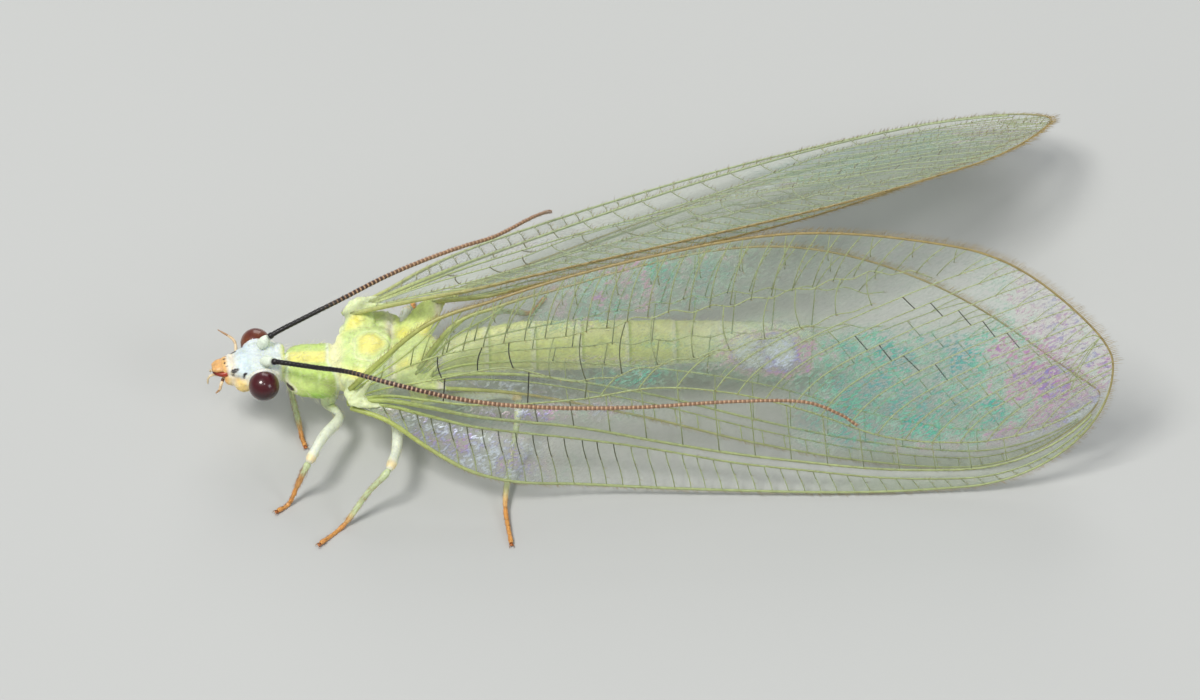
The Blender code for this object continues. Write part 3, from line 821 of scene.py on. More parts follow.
def skin_tints(points):
    """White face, green collar with a yellow stripe, and pale thorax and abdomen, each where it lies; the
    abdomen has a painted highlight along its top and painted shade on its flanks.
    """
    x, y, z = points.T
    axis_y, axis_z, half_width = body_axis(x)[:3]
    across, height = y - axis_y, z - axis_z
    side = np.abs(across) / half_width
    tints = abdomen_tints(x, side, height)
    tints = thorax_tints(tints, x, y, side, height)
    tints = collar_tints(tints, x, across, z, side, height)
    return head_tints(tints, points)


def abdomen_tints(x, side, height):
    turns = segment_turns(x)
    phase = turns - np.floor(turns)
    return painted(
        screen(226, 233, 152),
        # Lighter along the top: a painted highlight
        ((242, 244, 184), 0.8 * bump(side, 0.0, 0.5) * step_up(height, 0, 0.3)),
        ((244, 246, 208), 0.8 * step_up(phase, 0.86, 0.97)),
        ((170, 190, 84), 0.7 * bump(phase, 0.02, 0.04)),
        # Darker green on the flanks: painted shade
        ((206, 220, 118), 0.5 * bump(side, 0.62, 0.16) * bump(phase, 0.42, 0.28)),
        ((234, 238, 196), 0.7 * step_up(-height, 0.1, 0.35)),
        ((240, 242, 212), 0.8 * step_up(x, 7.0, 9.5)),
    )


def thorax_tints(tints, x, y, side, height):
    rear = step_up(x, 1.02, 1.12) * (1 - step_up(x, 2.05, 2.25))
    front = step_up(x, -0.45, -0.36) * (1 - step_up(x, 1.02, 1.10))
    on_back = front * step_up(height, 0.15, 0.3)
    aside = np.abs(y - SHIELD[1])
    shield = from_shield(x, y)
    frill = (bump(x, 1.02, 0.10) + bump(x, 2.18, 0.10)) * step_up(side, 0.3, 0.6)
    return painted(
        tints,
        ((216, 230, 150), rear),
        ((240, 232, 120), 0.9 * rear * bump(np.hypot(x - 1.32, aside - 0.50), 0.0, 0.20)),
        ((242, 234, 118), 0.9 * rear * bump(np.hypot(x - 1.88, aside - 0.50), 0.0, 0.20)),
        ((218, 234, 164), front),
        ((240, 238, 190), 0.9 * front * (1 - step_up(x, -0.22, -0.02))),
        ((196, 222, 132), 0.6 * front * bump(np.hypot(x - 0.08, aside - 0.42), 0.0, 0.20)),
        ((240, 242, 204), 0.6 * on_back * bump(shield, 1.08, 0.07)),
        ((238, 230, 132), 0.9 * on_back * (1 - step_up(shield, 0.55, 1.05))),
        ((242, 230, 112), 0.9 * front * bump(np.hypot(x - 0.20, side - 0.90), 0.0, 0.22)),
        ((232, 226, 202), frill),
        ((222, 230, 186), 0.7 * front * step_up(side, 0.95, 1.25)),
    )


def collar_tints(tints, x, across, z, side, height):
    rear = -0.42 + 0.22 * step_up(-across, 0.1, 0.6)
    collar = step_up(x, -1.52, -1.42) * (1 - step_up(x - rear, -0.03, 0.03))
    stripe = (1 - step_up(np.abs(across - 0.05), 0.13, 0.25)) * step_up(height, 0.1, 0.25)
    spot = np.hypot((x + 1.36) / 0.12, (z - 1.60) / 0.10)
    on_left = collar * (across < 0)
    return painted(
        tints,
        ((206, 222, 138), collar),
        ((240, 230, 134), 0.85 * collar * stripe),
        ((188, 216, 112), 0.8 * collar * bump(side, 0.62, 0.24)),
        ((156, 214, 70), 0.8 * collar * bump(np.hypot(x + 0.72, (z - 1.42) * 1.4), 0.0, 0.30)),
        ((232, 240, 214), 0.9 * collar * np.maximum(bump(x - rear, -0.03, 0.05), bump(x, -1.44, 0.07))),
        ((224, 236, 204), 0.6 * collar * step_up(-height, 0.25, 0.45)),
        ((236, 232, 206), 0.9 * on_left * bump(spot, 1.25, 0.22)),
        ((48, 22, 16), on_left * (1 - step_up(spot, 0.75, 1.0))),
    )


def head_tints(tints, points):
    forward, left, up = head_places(points)
    aside = np.abs(left)
    head = 1 - step_up(points[:, 0], -1.62, -1.46)
    cheek = step_up(-up, 0.02, 0.12) * step_up(forward, 0.10, 0.30)
    socket = bump(np.hypot(forward, up), 0.36, 0.07) * step_up(aside, 0.42, 0.52)
    tints = painted(
        tints,
        ((220, 228, 226), head),
        ((196, 216, 222), 0.6 * head * bump(forward, 0.38, 0.20) * step_up(up, 0.0, 0.1)),
        ((214, 230, 204), 0.7 * head * bump(aside, 0.28, 0.12) * bump(forward, -0.26, 0.14)),
        ((236, 206, 134), head * cheek),
        ((232, 218, 192), 0.8 * head * bump(forward, 0.68, 0.08)),
        ((232, 182, 116), head * step_up(forward, 0.74, 0.84)),
        ((238, 232, 208), 0.8 * head * socket),
    )
    for ahead, out, long_half, half in FACE_MARKS:
        away = np.hypot((forward - ahead) / long_half, (aside - out) / half)
        tints = painted(tints, ((30, 18, 16), head * (up > -0.16) * (1 - step_up(away, 0.7, 1.0))))
    return tints


def make_skin():
    shapes = head_solids() + body_solids() + hinge_solids() + hip_solids()
    points, normals, faces = remeshed(shapes, SKIN_VOXEL, 3)
    points = points + relief(points)[:, None] * normals
    look = shell_look("skin", 0.05, 0.42, 0.006, 0.10, flesh=0.35)
    gather = Gather()
    gather.add((points, faces), skin_tints(points))
    gather.build("skin", look, "yellow_green", ("head", "prothorax", "mesothorax", "metathorax", "abdomen"))
    make_body_hair(points, normals)


def make_body_hair(points, normals):
    """Short pale hairs that lie back along the body, a few of them longer on the thorax and head."""
    draw = np.random.default_rng(5)
    picked = draw.choice(len(points), BODY_HAIRS, replace=False)
    roots, outward = points[picked], normals[picked]
    x = roots[:, 0]
    share = np.where(x > 2.2, 0.75, np.where(x > -1.5, 0.65, 0.3))
    keep = (roots[:, 2] > 0.95) & (draw.random(len(x)) < share)
    roots, outward, x = roots[keep], outward[keep], x[keep]
    long_one = draw.random(len(x)) < np.where((x > -1.5) & (x < 2.2), 0.35, 0.12)
    lengths = np.where(long_one, draw.uniform(0.16, 0.26, len(x)), draw.uniform(0.06, 0.12, len(x)))
    lengths = np.where(x < -1.6, lengths * 0.55, lengths)
    ways = outward * np.where(long_one, 1.1, 0.55)[:, None] + (0.75, 0.0, 0.05)
    ways += draw.normal(0, 0.2, (len(x), 3))
    ways[x < -1.6] *= (-1.0, 1.0, 1.0)
    tint = blend(screen(236, 238, 208), screen(196, 170, 110), draw.random(len(x)) * 0.5)
    turn = np.arctan2(roots[:, 1] - body_axis(x)[0], roots[:, 2] - 1.6) / (2 * np.pi) + 0.5
    spots = np.c_[0.05 + 0.9 * (x + 3.2) / 14.5, 0.05 + 0.9 * turn]
    gather = Gather()
    hairs(gather, roots, ways, lengths, BODY_HAIR, (0.25, 0.0, -0.10), tint, spots)
    gather.build("body_hair", hair_look(), "chalk", mapped=True)


# Eyes


def make_eyes():
    look = eye_look()
    tops = {"eye_left": screen(96, 8, 22), "eye_right": screen(160, 84, 44)}
    for name, eye in EYES.items():
        centre = head_point(*eye)
        points, faces = ball(centre, (EYE_RADIUS,) * 3, 64, 96)
        # Each eye's lighter top colour darkens to maroon towards its bottom: painted shade
        low = step_up(centre[2] - points[:, 2], -0.20, 0.08)
        tint = blend(tops[name], screen(44, 4, 10), low)
        gather = Gather()
        gather.add((points, faces), tint)
        gather.build(name + "_facets", look, "eye", (name,))


# Mouth


TAN, BROWN = (230, 208, 172), (120, 76, 52)
LIP = (
    (0.86, 0.20, 0.09, 0.05), (0.98, 0.19, 0.08, 0.08), (1.08, 0.15, 0.04, 0.12), (1.14, 0.09, -0.02, 0.13),
)

# Corners of the palps, as forward, left and up on the head
UPPER_PALPS = (
    ((0.88, 0.14, -0.24), (0.97, 0.30, -0.34), (1.02, 0.44, -0.35), (1.12, 0.58, -0.30)),
    ((0.60, -0.22, -0.20), (0.52, -0.50, -0.12), (0.54, -0.78, 0.00), (0.88, -1.03, 0.14)),
)
LOWER_PALPS = (
    ((0.96, 0.06, -0.26), (1.14, 0.10, -0.18), (1.25, 0.16, -0.22), (1.27, 0.20, -0.36)),
    ((0.96, -0.08, -0.26), (1.08, -0.14, -0.28), (1.16, -0.20, -0.34), (1.16, -0.24, -0.44)),
)


def jointed(gather, path, bounds, radii, tints, sides=14, waist=0.72):
    """Segments along a path, each narrower at its ends, with one tint for each."""
    count = len(path)
    for i, (start, end) in enumerate(zip(bounds[:-1], bounds[1:])):
        first, last = int(round(start * (count - 1))), int(round(end * (count - 1)))
        part = path[first:last + 1]
        share = np.linspace(0, 1, len(part))
        swell = waist + (1 - waist) * np.sqrt(np.clip(np.sin(np.pi * (0.06 + 0.88 * share)), 0, 1))
        size = radii[i] + (radii[i + 1] - radii[i]) * share
        gather.add(tube(part, size * swell, sides), tints[i])


def make_mouthparts():
    gather = Gather()
    gather.add(head_loft(LIP, 14, 32, 2.5), screen(226, 174, 112))
    for side in (-1, 1):
        add_jaw(gather, side)
    bounds, radii = (0, 0.10, 0.22, 0.48, 0.74, 1.0), (0.045, 0.043, 0.041, 0.037, 0.031, 0.014)
    for corners in UPPER_PALPS:
        add_palp(gather, corners, 60, bounds, radii, (TAN, BROWN, TAN, (216, 188, 150), (176, 138, 104)))
    bounds, radii = (0, 0.3, 0.62, 1.0), (0.036, 0.034, 0.030, 0.016)
    for corners in LOWER_PALPS:
        add_palp(gather, corners, 45, bounds, radii, (TAN, TAN, (206, 186, 150)))
    look = shell_look("mouth", 0.04, 0.35, 0.004, 0.14, flesh=0.15)
    gather.build("mouth", look, "amber", ("mouthparts",))


def add_jaw(gather, side):
    """A reddish hook that darkens to its tip, under the edge of the lip."""
    corners = ((0.80, 0.22, -0.06), (0.96, 0.21, -0.08), (1.08, 0.13, -0.10), (1.13, 0.02, -0.12))
    path = along_path([head_point(forward, side * left, up) for forward, left, up in corners], 20)
    tint = blend(screen(168, 60, 36), screen(44, 14, 12), np.linspace(-0.3, 1.1, 20))
    gather.add(tube(path, np.linspace(0.075, 0.018, 20), 12), ringed(tint, 12))


def add_palp(gather, corners, count, bounds, radii, tints):
    path = along_path([head_point(*corner) for corner in corners], count)
    jointed(gather, path, bounds, radii, [screen(*tint) for tint in tints])


# Feelers


ANTENNAE = {
    "antenna_left": (
        (-1.96, -0.12, 2.20), (-1.62, -0.37, 2.44), (-0.75, -0.82, 2.70), (0.07, -1.40, 3.12),
        (1.10, -1.92, 3.22), (2.80, -2.30, 3.00), (4.60, -2.46, 2.86), (6.70, -2.52, 2.84),
        (8.80, -2.52, 2.94), (10.50, -2.60, 2.96), (11.35, -2.78, 2.72), (11.80, -2.96, 2.48),
    ),
    "antenna_right": (
        (-2.04, 0.40, 2.18), (-1.72, 0.48, 2.48), (-0.90, 0.82, 2.70), (-0.12, 1.15, 2.88),
        (0.95, 1.78, 2.96), (1.93, 2.38, 2.88), (2.80, 2.92, 2.72), (3.59, 3.42, 2.52), (4.47, 4.30, 2.19),
        (4.82, 4.88, 1.76), (4.92, 5.50, 1.14), (5.00, 6.15, 0.46),
    ),
}
SCAPE_LENGTH = 0.36
FEELER_SEGMENT = 0.105
SEGMENT_STEPS = 6


def make_antenna(name, corners):
    """A swollen pale base, a short black joint, and a whip of small ringed segments."""
    length = np.linalg.norm(np.diff(along_path(corners, 200), axis=0), axis=1).sum()
    count = int(length / FEELER_SEGMENT)
    path = along_path(corners, count * SEGMENT_STEPS + 1)
    base = int(SCAPE_LENGTH / FEELER_SEGMENT * SEGMENT_STEPS)
    gather = Gather()
    scape = path[:base + 1:3]
    knob = np.interp(np.linspace(0, 5, len(scape)), range(6), (0.11, 0.125, 0.13, 0.125, 0.11, 0.08))
    gather.add(tube(scape, knob, 24), screen(222, 232, 214))
    whip = path[base:]
    share = np.linspace(0, 1, len(whip))
    phase = np.arange(len(whip)) % SEGMENT_STEPS / SEGMENT_STEPS
    radii = (0.062 - 0.026 * share) * (0.86 + 0.16 * np.sin(np.pi * np.clip(phase + 0.08, 0, 1)))
    radii[:SEGMENT_STEPS] *= 1.25
    gather.add(tube(whip, radii, 12), ringed(whip_tints(share, phase), 12))
    look = shared_look("feeler_shell", 0.03, 0.34, 0.002, 0.12)
    gather.build(name + "_whip", look, "feeler", (name,))
    feeler_hair(name, whip, radii)


def whip_tints(share, phase):
    """Black near the head, then brown with a pale ring at the start of each segment."""
    tint = painted(
        screen(22, 17, 17),
        ((70, 46, 38), step_up(share, 0.14, 0.26)),
        ((150, 114, 86), 0.85 * step_up(share, 0.26, 0.46)),
        ((206, 168, 132), 0.75 * (phase < 0.2) * step_up(share, 0.12, 0.24)),
    )
    return blend(tint, tint * 0.55, (phase > 0.75) * step_up(share, 0.2, 0.4))


def feeler_hair(name, whip, radii):
    draw = np.random.default_rng(11)
    ahead = unit(np.gradient(whip, axis=0))
    gather = Gather()
    places = np.repeat(np.arange(SEGMENT_STEPS // 2, len(whip) - 1, SEGMENT_STEPS), 7)
    turn = draw.uniform(0, 2 * np.pi, len(places))
    across = unit(np.cross(ahead[places], UP))
    over = np.cross(across, ahead[places])
    spoke = np.cos(turn)[:, None] * across + np.sin(turn)[:, None] * over
    roots = whip[places] + spoke * radii[places][:, None] * 0.9
    share = places / len(whip)
    tint = blend(screen(30, 22, 20), screen(150, 100, 62), step_up(share, 0.15, 0.4))
    spots = np.c_[0.05 + 0.9 * share, 0.05 + 0.9 * turn / (2 * np.pi)]
    hairs(gather, roots, spoke * 0.45 + ahead[places], 0.065, FEELER_HAIR, (0, 0, 0), tint, spots)
    gather.build(name + "_hair", hair_look(), "feeler", mapped=True)


# Legs


# Radii along the thigh and the shin, as shares of their length
THIGH_SIZES = (
    (0, 0.13), (0.14, 0.10), (0.24, 0.078), (0.30, 0.105),
    (0.55, 0.128), (0.85, 0.112), (0.95, 0.118), (1, 0.07),
)
SHIN_SIZES = ((0, 0.06), (0.06, 0.085), (0.2, 0.072), (0.5, 0.066), (0.9, 0.062), (1, 0.05))
TOE_BOUNDS = (0, 0.34, 0.52, 0.66, 0.79, 1.0)
TOE_SIZES = (0.056, 0.054, 0.052, 0.050, 0.052, 0.060)

# Radius, number of hairs and their length on thigh, shin and toes
LEG_COATS = ((0.12, 170, 0.11), (0.062, 240, 0.085), (0.05, 160, 0.055))


def make_leg(name, corners):
    """Thigh, shin, five toe joints, a pad and two claws."""
    toe_tint = screen(216, 150, 82)
    knee, ankle = KNEES[name], ANKLES[name]
    gather = Gather()
    thigh = along_path(corners, 36, 0.0, knee)
    share = np.linspace(0, 1, 36)
    tint = painted(
        screen(226, 232, 214),
        ((240, 214, 160), bump(share, 0.96, 0.03)),
        ((206, 218, 170), bump(share, 0.1, 0.1)),
    )
    gather.add(tube(thigh, smooth(THIGH_SIZES, share)[:, 0], 20), ringed(tint, 20))
    shin = along_path(corners, 40, knee, ankle)
    share = np.linspace(0, 1, 40)
    turn = 0.30 if name == "fore_left" else 0.75
    tint = blend(screen(196, 208, 164), toe_tint, 0.85 * step_up(share, turn, turn + 0.25))
    gather.add(tube(shin, smooth(SHIN_SIZES, share)[:, 0], 16), ringed(tint, 16))
    foot = along_path(corners, 80, ankle, 6.0)
    jointed(gather, foot, TOE_BOUNDS, TOE_SIZES, (toe_tint,) * 5, 14, 0.6)
    add_claws(gather, foot)
    look = shared_look("leg_shell", 0.05, 0.36, 0.004, 0.10, flesh=0.4)
    gather.build("leg_" + name + "_skin", look, "leg", ("leg_" + name,))
    return thigh, shin, foot


def add_claws(gather, foot):
    ahead = unit(foot[-1] - foot[-6])
    aside = unit(np.cross(ahead, UP))
    end = foot[-1]
    gather.add(ball(end + 0.03 * ahead - 0.015 * UP, (0.05, 0.05, 0.035), 10, 16), screen(190, 110, 56))
    curve = ((0.0, 0.0, 0.0), (0.06, 0.035, 0.02), (0.10, 0.05, -0.005), (0.115, 0.052, -0.045))
    for side in (-1, 1):
        corners = [end + out * ahead + side * apart * aside + rise * UP for out, apart, rise in curve]
        gather.add(tube(along_path(corners, 10), np.linspace(0.016, 0.004, 10), 8), screen(120, 58, 30))


def make_legs():
    gather = Gather()
    for number, (name, corners) in enumerate(LEGS.items()):
        leg_hair(gather, number, make_leg(name, corners))
    gather.build("leg_hair", hair_look(), "leg", mapped=True)


def leg_hair(gather, number, parts):
    """Fine hairs that lean towards the foot, thickest on shin and toes."""
    draw = np.random.default_rng(20 + number)
    for order, (path, (radius, count, length)) in enumerate(zip(parts, LEG_COATS)):
        places = draw.integers(2, len(path) - 2, count)
        ahead = unit(np.gradient(path, axis=0))[places]
        turn = draw.uniform(0, 2 * np.pi, count)
        across = unit(np.cross(ahead, UP + 0.01))
        spoke = np.cos(turn)[:, None] * across + np.sin(turn)[:, None] * np.cross(across, ahead)
        roots = path[places] + spoke * radius * 0.92
        keep = roots[:, 2] > 0.05
        tint = screen(214, 206, 160) if order == 0 else screen(168, 118, 66)
        row = (number + 0.1 + 0.8 * turn / (2 * np.pi)) / 6
        spots = np.c_[0.05 + 0.9 * (order + places / len(path)) / 3, row]
        size = length * draw.uniform(0.6, 1.2, count)[keep]
        ways = (spoke * 0.7 + ahead)[keep]
        ways[:, 2] = np.maximum(ways[:, 2], -0.4 * (roots[keep][:, 2] > 0.15))
        hairs(gather, roots[keep], ways, size, LEG_HAIR, (0, 0, 0), tint, spots[keep])


# Wings


FOREWING_FRONT = (
    (0.0, 0.010), (0.05, 0.030), (0.10, 0.066), (0.15, 0.096), (0.20, 0.114),
    (0.30, 0.130), (0.50, 0.151), (0.70, 0.163), (0.85, 0.160), (1.0, 0.152),
)
FOREWING_HIND = (
    (0.0, 0.010), (0.05, 0.054), (0.10, 0.092), (0.20, 0.126), (0.40, 0.173),
    (0.60, 0.195), (0.80, 0.168), (0.90, 0.141), (1.0, 0.092),
)
HINDWING_FRONT = (
    (0.0, 0.010), (0.16, 0.017), (0.33, 0.048), (0.50, 0.087), (0.67, 0.113),
    (0.80, 0.119), (0.90, 0.108), (1.0, 0.080),
)
HINDWING_HIND = (
    (0.0, 0.012), (0.05, 0.080), (0.12, 0.114), (0.21, 0.143), (0.35, 0.185),
    (0.45, 0.206), (0.55, 0.210), (0.65, 0.194), (0.75, 0.160), (0.85, 0.110), (1.0, 0.030),
)

# Where the media runs out among the branches
MEDIA_END = 0.65

# How far the film stands up along each long vein
PLEATS = {"subcosta": -0.05, "radius": 0.06, "sector": -0.02, "media": 0.04, "cubitus": -0.04}

# Each long vein's share of the way from front to hind margin, along the wing
FOREWING_VEINS = {
    "subcosta": ((0.0, 0.20), (0.1, 0.26), (0.2, 0.27), (0.3, 0.22), (0.4, 0.17), (0.5, 0.115), (0.6, 0.085),
                 (0.7, 0.055), (0.9, 0.035), (1.0, 0.05)),
    "radius": ((0.0, 0.32), (0.1, 0.34), (0.2, 0.335), (0.3, 0.28), (0.4, 0.21), (0.5, 0.155), (0.6, 0.12),
               (0.7, 0.092), (0.9, 0.080), (1.0, 0.10)),
    "sector": ((0.0, 0.40), (0.1, 0.39), (0.2, 0.41), (0.3, 0.41), (0.4, 0.44), (0.5, 0.40), (0.6, 0.32),
               (0.7, 0.22), (0.8, 0.19), (0.9, 0.20), (1.0, 0.24)),
    "media": ((0.0, 0.50), (0.1, 0.55), (0.2, 0.62), (0.3, 0.50), (0.4, 0.54), (0.5, 0.58), (0.6, 0.65),
              (0.7, 0.74), (0.8, 0.71), (1.0, 0.60)),
    "cubitus": ((0.0, 0.66), (0.1, 0.72), (0.2, 0.75), (0.3, 0.72), (0.4, 0.75), (0.5, 0.75), (0.6, 0.79),
                (0.7, 0.86), (0.8, 0.87), (1.0, 0.80)),
}
HINDWING_VEINS = {
    "subcosta": ((0.0, 0.14), (0.3, 0.10), (0.6, 0.06), (1.0, 0.06)),
    "radius": ((0.0, 0.24), (0.3, 0.17), (0.6, 0.11), (1.0, 0.11)),
    "sector": ((0.0, 0.34), (0.3, 0.33), (0.5, 0.31), (0.7, 0.24), (1.0, 0.26)),
    "media": ((0.0, 0.46), (0.3, 0.49), (0.5, 0.58), (0.7, 0.70), (1.0, 0.62)),
    "cubitus": ((0.0, 0.62), (0.3, 0.72), (0.5, 0.78), (0.7, 0.86), (1.0, 0.80)),
}


def wing_axes(side, yaw, pitch, slope):
    """Unit vectors from root to tip, from front margin to hind margin, and outwards."""
    yaw, pitch, slope = np.radians((yaw, pitch, slope))
    level = np.array((-math.sin(yaw), side * math.cos(yaw), 0.0))
    heading = np.array((math.cos(yaw), side * math.sin(yaw), 0.0))
    along = heading * math.cos(pitch) + UP * math.sin(pitch)
    above = unit(UP - along * along[2])
    chord = above * math.sin(slope) - level * math.cos(slope)
    outward = above * math.cos(slope) + level * math.sin(slope)
    return along, chord, outward


class Wing:
    """A wing's plane, outline and long veins. u runs along it and v across it, as shares of its length."""

    def __init__(self, name, root, axes, length, front, hind, veins, bend, flare, bow, arch):
        self.name, self.root, self.axes, self.length = name, np.asarray(root), axes, length
        self.front_rows, self.hind_rows, self.veins = front, hind, veins
        self.bend, self.flare, self.bow, self.arch = np.asarray(bend), flare, bow, arch

    def edges(self, u):
        over = np.clip((np.asarray(u) - TIP_START) / (1.0 - TIP_START), 0.0, 1.0)
        rounded = np.sqrt(1.0 - over * over)
        return -smooth(self.front_rows, u)[:, 0] * rounded, smooth(self.hind_rows, u)[:, 0] * rounded

    def across(self, u, share):
        """v at a share of the way from the front margin to the hind one."""
        front, hind = self.edges(u)
        return front + share * (hind - front)

    def line_v(self, name, u):
        """v of a long vein or a margin at u."""
        front, hind = self.edges(u)
        if name in ("front", "hind"):
            return front if name == "front" else hind
        return front + smooth(self.veins[name], u)[:, 0] * (hind - front)

    def height(self, u, v):
        """How far the film stands off its plane: bowed margins, and pleats along the long veins."""
        front, hind = self.edges(u)
        share = (v - front) / np.maximum(hind - front, 1e-4)
        lift = self.bow * ((v - 0.02) / 0.18) ** 2
        lift += self.flare * bump(u, 0.17, 0.11) * np.clip(-v / 0.10, 0.0, 1.0)
        lift += self.arch * np.sin(np.pi * np.clip(u, 0.0, 1.0))
        fade = step_up(u, 0.0, 0.08) * (1 - step_up(u, 0.8, 1.0))
        for name, amount in PLEATS.items():
            lift += amount * fade * bump(share, smooth(self.veins[name], u)[:, 0], 0.05)
        return lift

    def place(self, u, v, lift=0.0):
        u, v = np.atleast_1d(u).astype(float), np.atleast_1d(v).astype(float)
        along, chord, outward = self.axes
        pull = np.maximum(0.0, 1.0 - u / ROOT_SHARE) ** 2
        points = self.root + self.length * (u[:, None] * along + v[:, None] * chord)
        points = points + pull[:, None] * self.bend
        return points + (self.height(u, v) + lift)[:, None] * outward


def resampled(line, spacing):
    """Evenly spread points along a line of (u, v) corners."""
    line = np.asarray(line, float)
    lengths = np.r_[0, np.cumsum(np.linalg.norm(np.diff(line, axis=0), axis=1))]
    count = max(3, int(lengths[-1] / spacing) + 2)
    wanted = np.linspace(0, lengths[-1], count)
    return np.stack([np.interp(wanted, lengths, line[:, axis]) for axis in (0, 1)], 1)


def softened(line, rounds=2):
    """The line with its corners rounded a little, its ends kept."""
    line = np.array(line, float)
    for _ in range(rounds):
        line[1:-1] = (line[:-2] + 2 * line[1:-1] + line[2:]) / 4
    return line


class Net:
    """The veins of one wing: lines of (u, v), each with a thickness, a darkness and how hairy it is.

    A darkness of -1 stands for the golden margin.
    """

    def __init__(self, wing, seed):
        self.wing, self.lines, self.draw = wing, [], np.random.default_rng(seed)

    def add(self, line, thick, dark=0.0, hair=0.0, rounds=2):
        self.lines.append((softened(resampled(line, 0.005), rounds), thick, dark, hair))

    def rib(self, start, end, thick=0.015, dark=0.0, sag=0.0, hair=0.3):
        """A crossvein from one (u, v) to another, sagging to one side at its middle."""
        start, end = np.array(start, float), np.array(end, float)
        way = end - start
        normal = np.array((-way[1], way[0]))
        t = np.linspace(0, 1, 7)[:, None]
        line = start + way * t + normal * sag * np.sin(np.pi * t)
        self.add(line, thick, dark, hair, 0)

    def spot(self, name, u):
        """The (u, v) of a long vein or a margin at u."""
        return np.array((u, self.wing.line_v(name, u)[0]))

    def tie(self, first, second, u, shift=0.004, **kind):
        """A crossvein from one line at u to another, a shift further along."""
        self.rib(self.spot(first, u), self.spot(second, u + shift), **kind)

    def follow(self, name, u, thick, hair):
        """A stretch of one of the wing's long veins."""
        self.add(np.c_[u, self.wing.line_v(name, u)], thick, hair=hair)

    def kink(self, name, start, end, step, swing, thick, hair):
        """A long vein that steps from cell to cell."""
        knots = np.arange(start, end, step)
        sway = swing * np.where(np.arange(len(knots)) % 2, 1.0, -1.0)
        sway[:1] = 0.0
        self.add(np.c_[knots, self.wing.line_v(name, knots) + sway], thick, hair=hair, rounds=1)


def margin_line(wing, count=260):
    """The outline from the root along the front margin, round the tip and back to the root."""
    u = 0.5 - 0.5 * np.cos(np.pi * np.linspace(0.04, 1.0, count))
    front, hind = wing.edges(u)
    return np.r_[np.c_[u, front], np.c_[u[::-1], hind[::-1]]]


def branch_line(wing, start):
    """A branch of the sector: steep at first, then easing off to the media or the hind margin."""
    u, v = start, float(wing.line_v("sector", start)[0])
    line = [(u, v)]
    while u < 0.995:
        run = u - start
        slope = 0.42 + 1.0 * math.exp(-run / 0.03) - 0.10 * step_up(run, 0.1, 0.3)
        u, v = u + 0.005, v + 0.005 * slope
        front, hind = (float(edge[0]) for edge in wing.edges(u))
        if u < MEDIA_END and v >= float(wing.line_v("media", u)[0]):
            line.append((u, float(wing.line_v("media", u)[0])))
            break
        if v >= hind or v <= front:
            line.append((u - 0.0025, min(max(v - 0.0025 * slope, front), hind)))
            break
        line.append((u, v))
    return np.array(line)


def crossing(line, row):
    """The first point of a branch past a row's course."""
    first, level, slope, curve, _ = row
    run = line[:, 0] - first
    over = line[:, 1] - (level + slope * run + curve * run * run)
    found = np.nonzero((over[:-1] < 0) & (over[1:] >= 0))[0]
    return line[found[0] + 1] if len(found) else None


def add_steps(net, branches, row, dark):
    """A row of short crossveins, each slanting from one branch back to the next, like stairs."""
    slant = np.array((-0.62, 0.78))
    for branch, following in zip(branches[1:], branches[:-1]):
        found = crossing(branch, row)
        if found is None or found[0] > row[4] + 0.09:
            continue
        way = following - found
        off_line = np.abs(way[:, 0] * slant[1] - way[:, 1] * slant[0])
        off_line[np.linalg.norm(way, axis=1) > 0.045] = 1.0
        if off_line.min() < 0.003:
            shade = dark if row[0] - 0.01 <= found[0] <= row[4] + 0.01 else 0.15
            net.rib(found, following[off_line.argmin()], 0.016, shade, 0.0, 0.0)


def forewing_net(net):
    u = np.linspace(0.0, 0.97, 160)
    net.add(margin_line(net.wing), 0.036, -1.0, 0.0, 0)
    net.follow("subcosta", u, 0.028, 1.0)
    net.follow("radius", u, 0.036, 1.0)
    net.follow("sector", u[3:], 0.023, 0.8)
    for name, swing, end in (("media", 0.0030, MEDIA_END + 0.05), ("cubitus", 0.0040, 0.79)):
        net.follow(name, np.linspace(0.0, 0.30, 40), 0.019, 0.8)
        net.kink(name, 0.30, end, 0.026, swing, 0.015, 0.8)
    costal_ribs(net, 0.045, 0.955, 0.0215)
    for u in np.arange(0.20, 0.90, 0.047):
        net.tie("radius", "sector", u, -0.004, dark=0.8 if u < 0.3 else 0.2)
    for u, dark in ((0.125, 1.0), (0.235, 1.0), (0.31, 0.6)):
        net.tie("sector", "media", u, dark=dark)
    shades = (1.0, 1.0, 1.0, 0.1, 0.7, 0.7)
    for number, u in enumerate(np.arange(0.125, 0.72, 0.047)):
        dark = shades[number] if number < len(shades) else 0.1
        net.tie("media", "cubitus", u, 0.008 if number % 2 else -0.004, dark=dark, sag=0.08)
    hind_ribs(net, 0.10, 0.79, 0.027)
    starts = np.r_[np.arange(0.33, 0.50, 0.05), np.arange(0.509, 0.93, 0.036)]
    branches = add_branches(net, starts, 0.017, 0.6)
    add_steps(net, branches, (0.690, 0.101, -0.20, -1.0, 0.885), 1.0)
    add_steps(net, branches, (0.678, 0.032, -0.44, 0.0, 0.80), 1.0)
    anal_veins(net)


def costal_ribs(net, start, end, step):
    """The ladder of crossveins between the front margin and the subcosta, dark at their inner ends."""
    for u in np.arange(start, end, step):
        u = u + net.draw.uniform(-0.002, 0.002)
        top, low = net.spot("subcosta", u), net.spot("front", u + 0.010)
        middle = top + (low - top) * 0.42
        net.rib(top, middle, 0.014, 0.85 if u < 0.36 else 0.2, -0.03, 0.0)
        net.rib(middle, low, 0.013, 0.25 if u < 0.42 else 0.0, 0.03, 0.4)


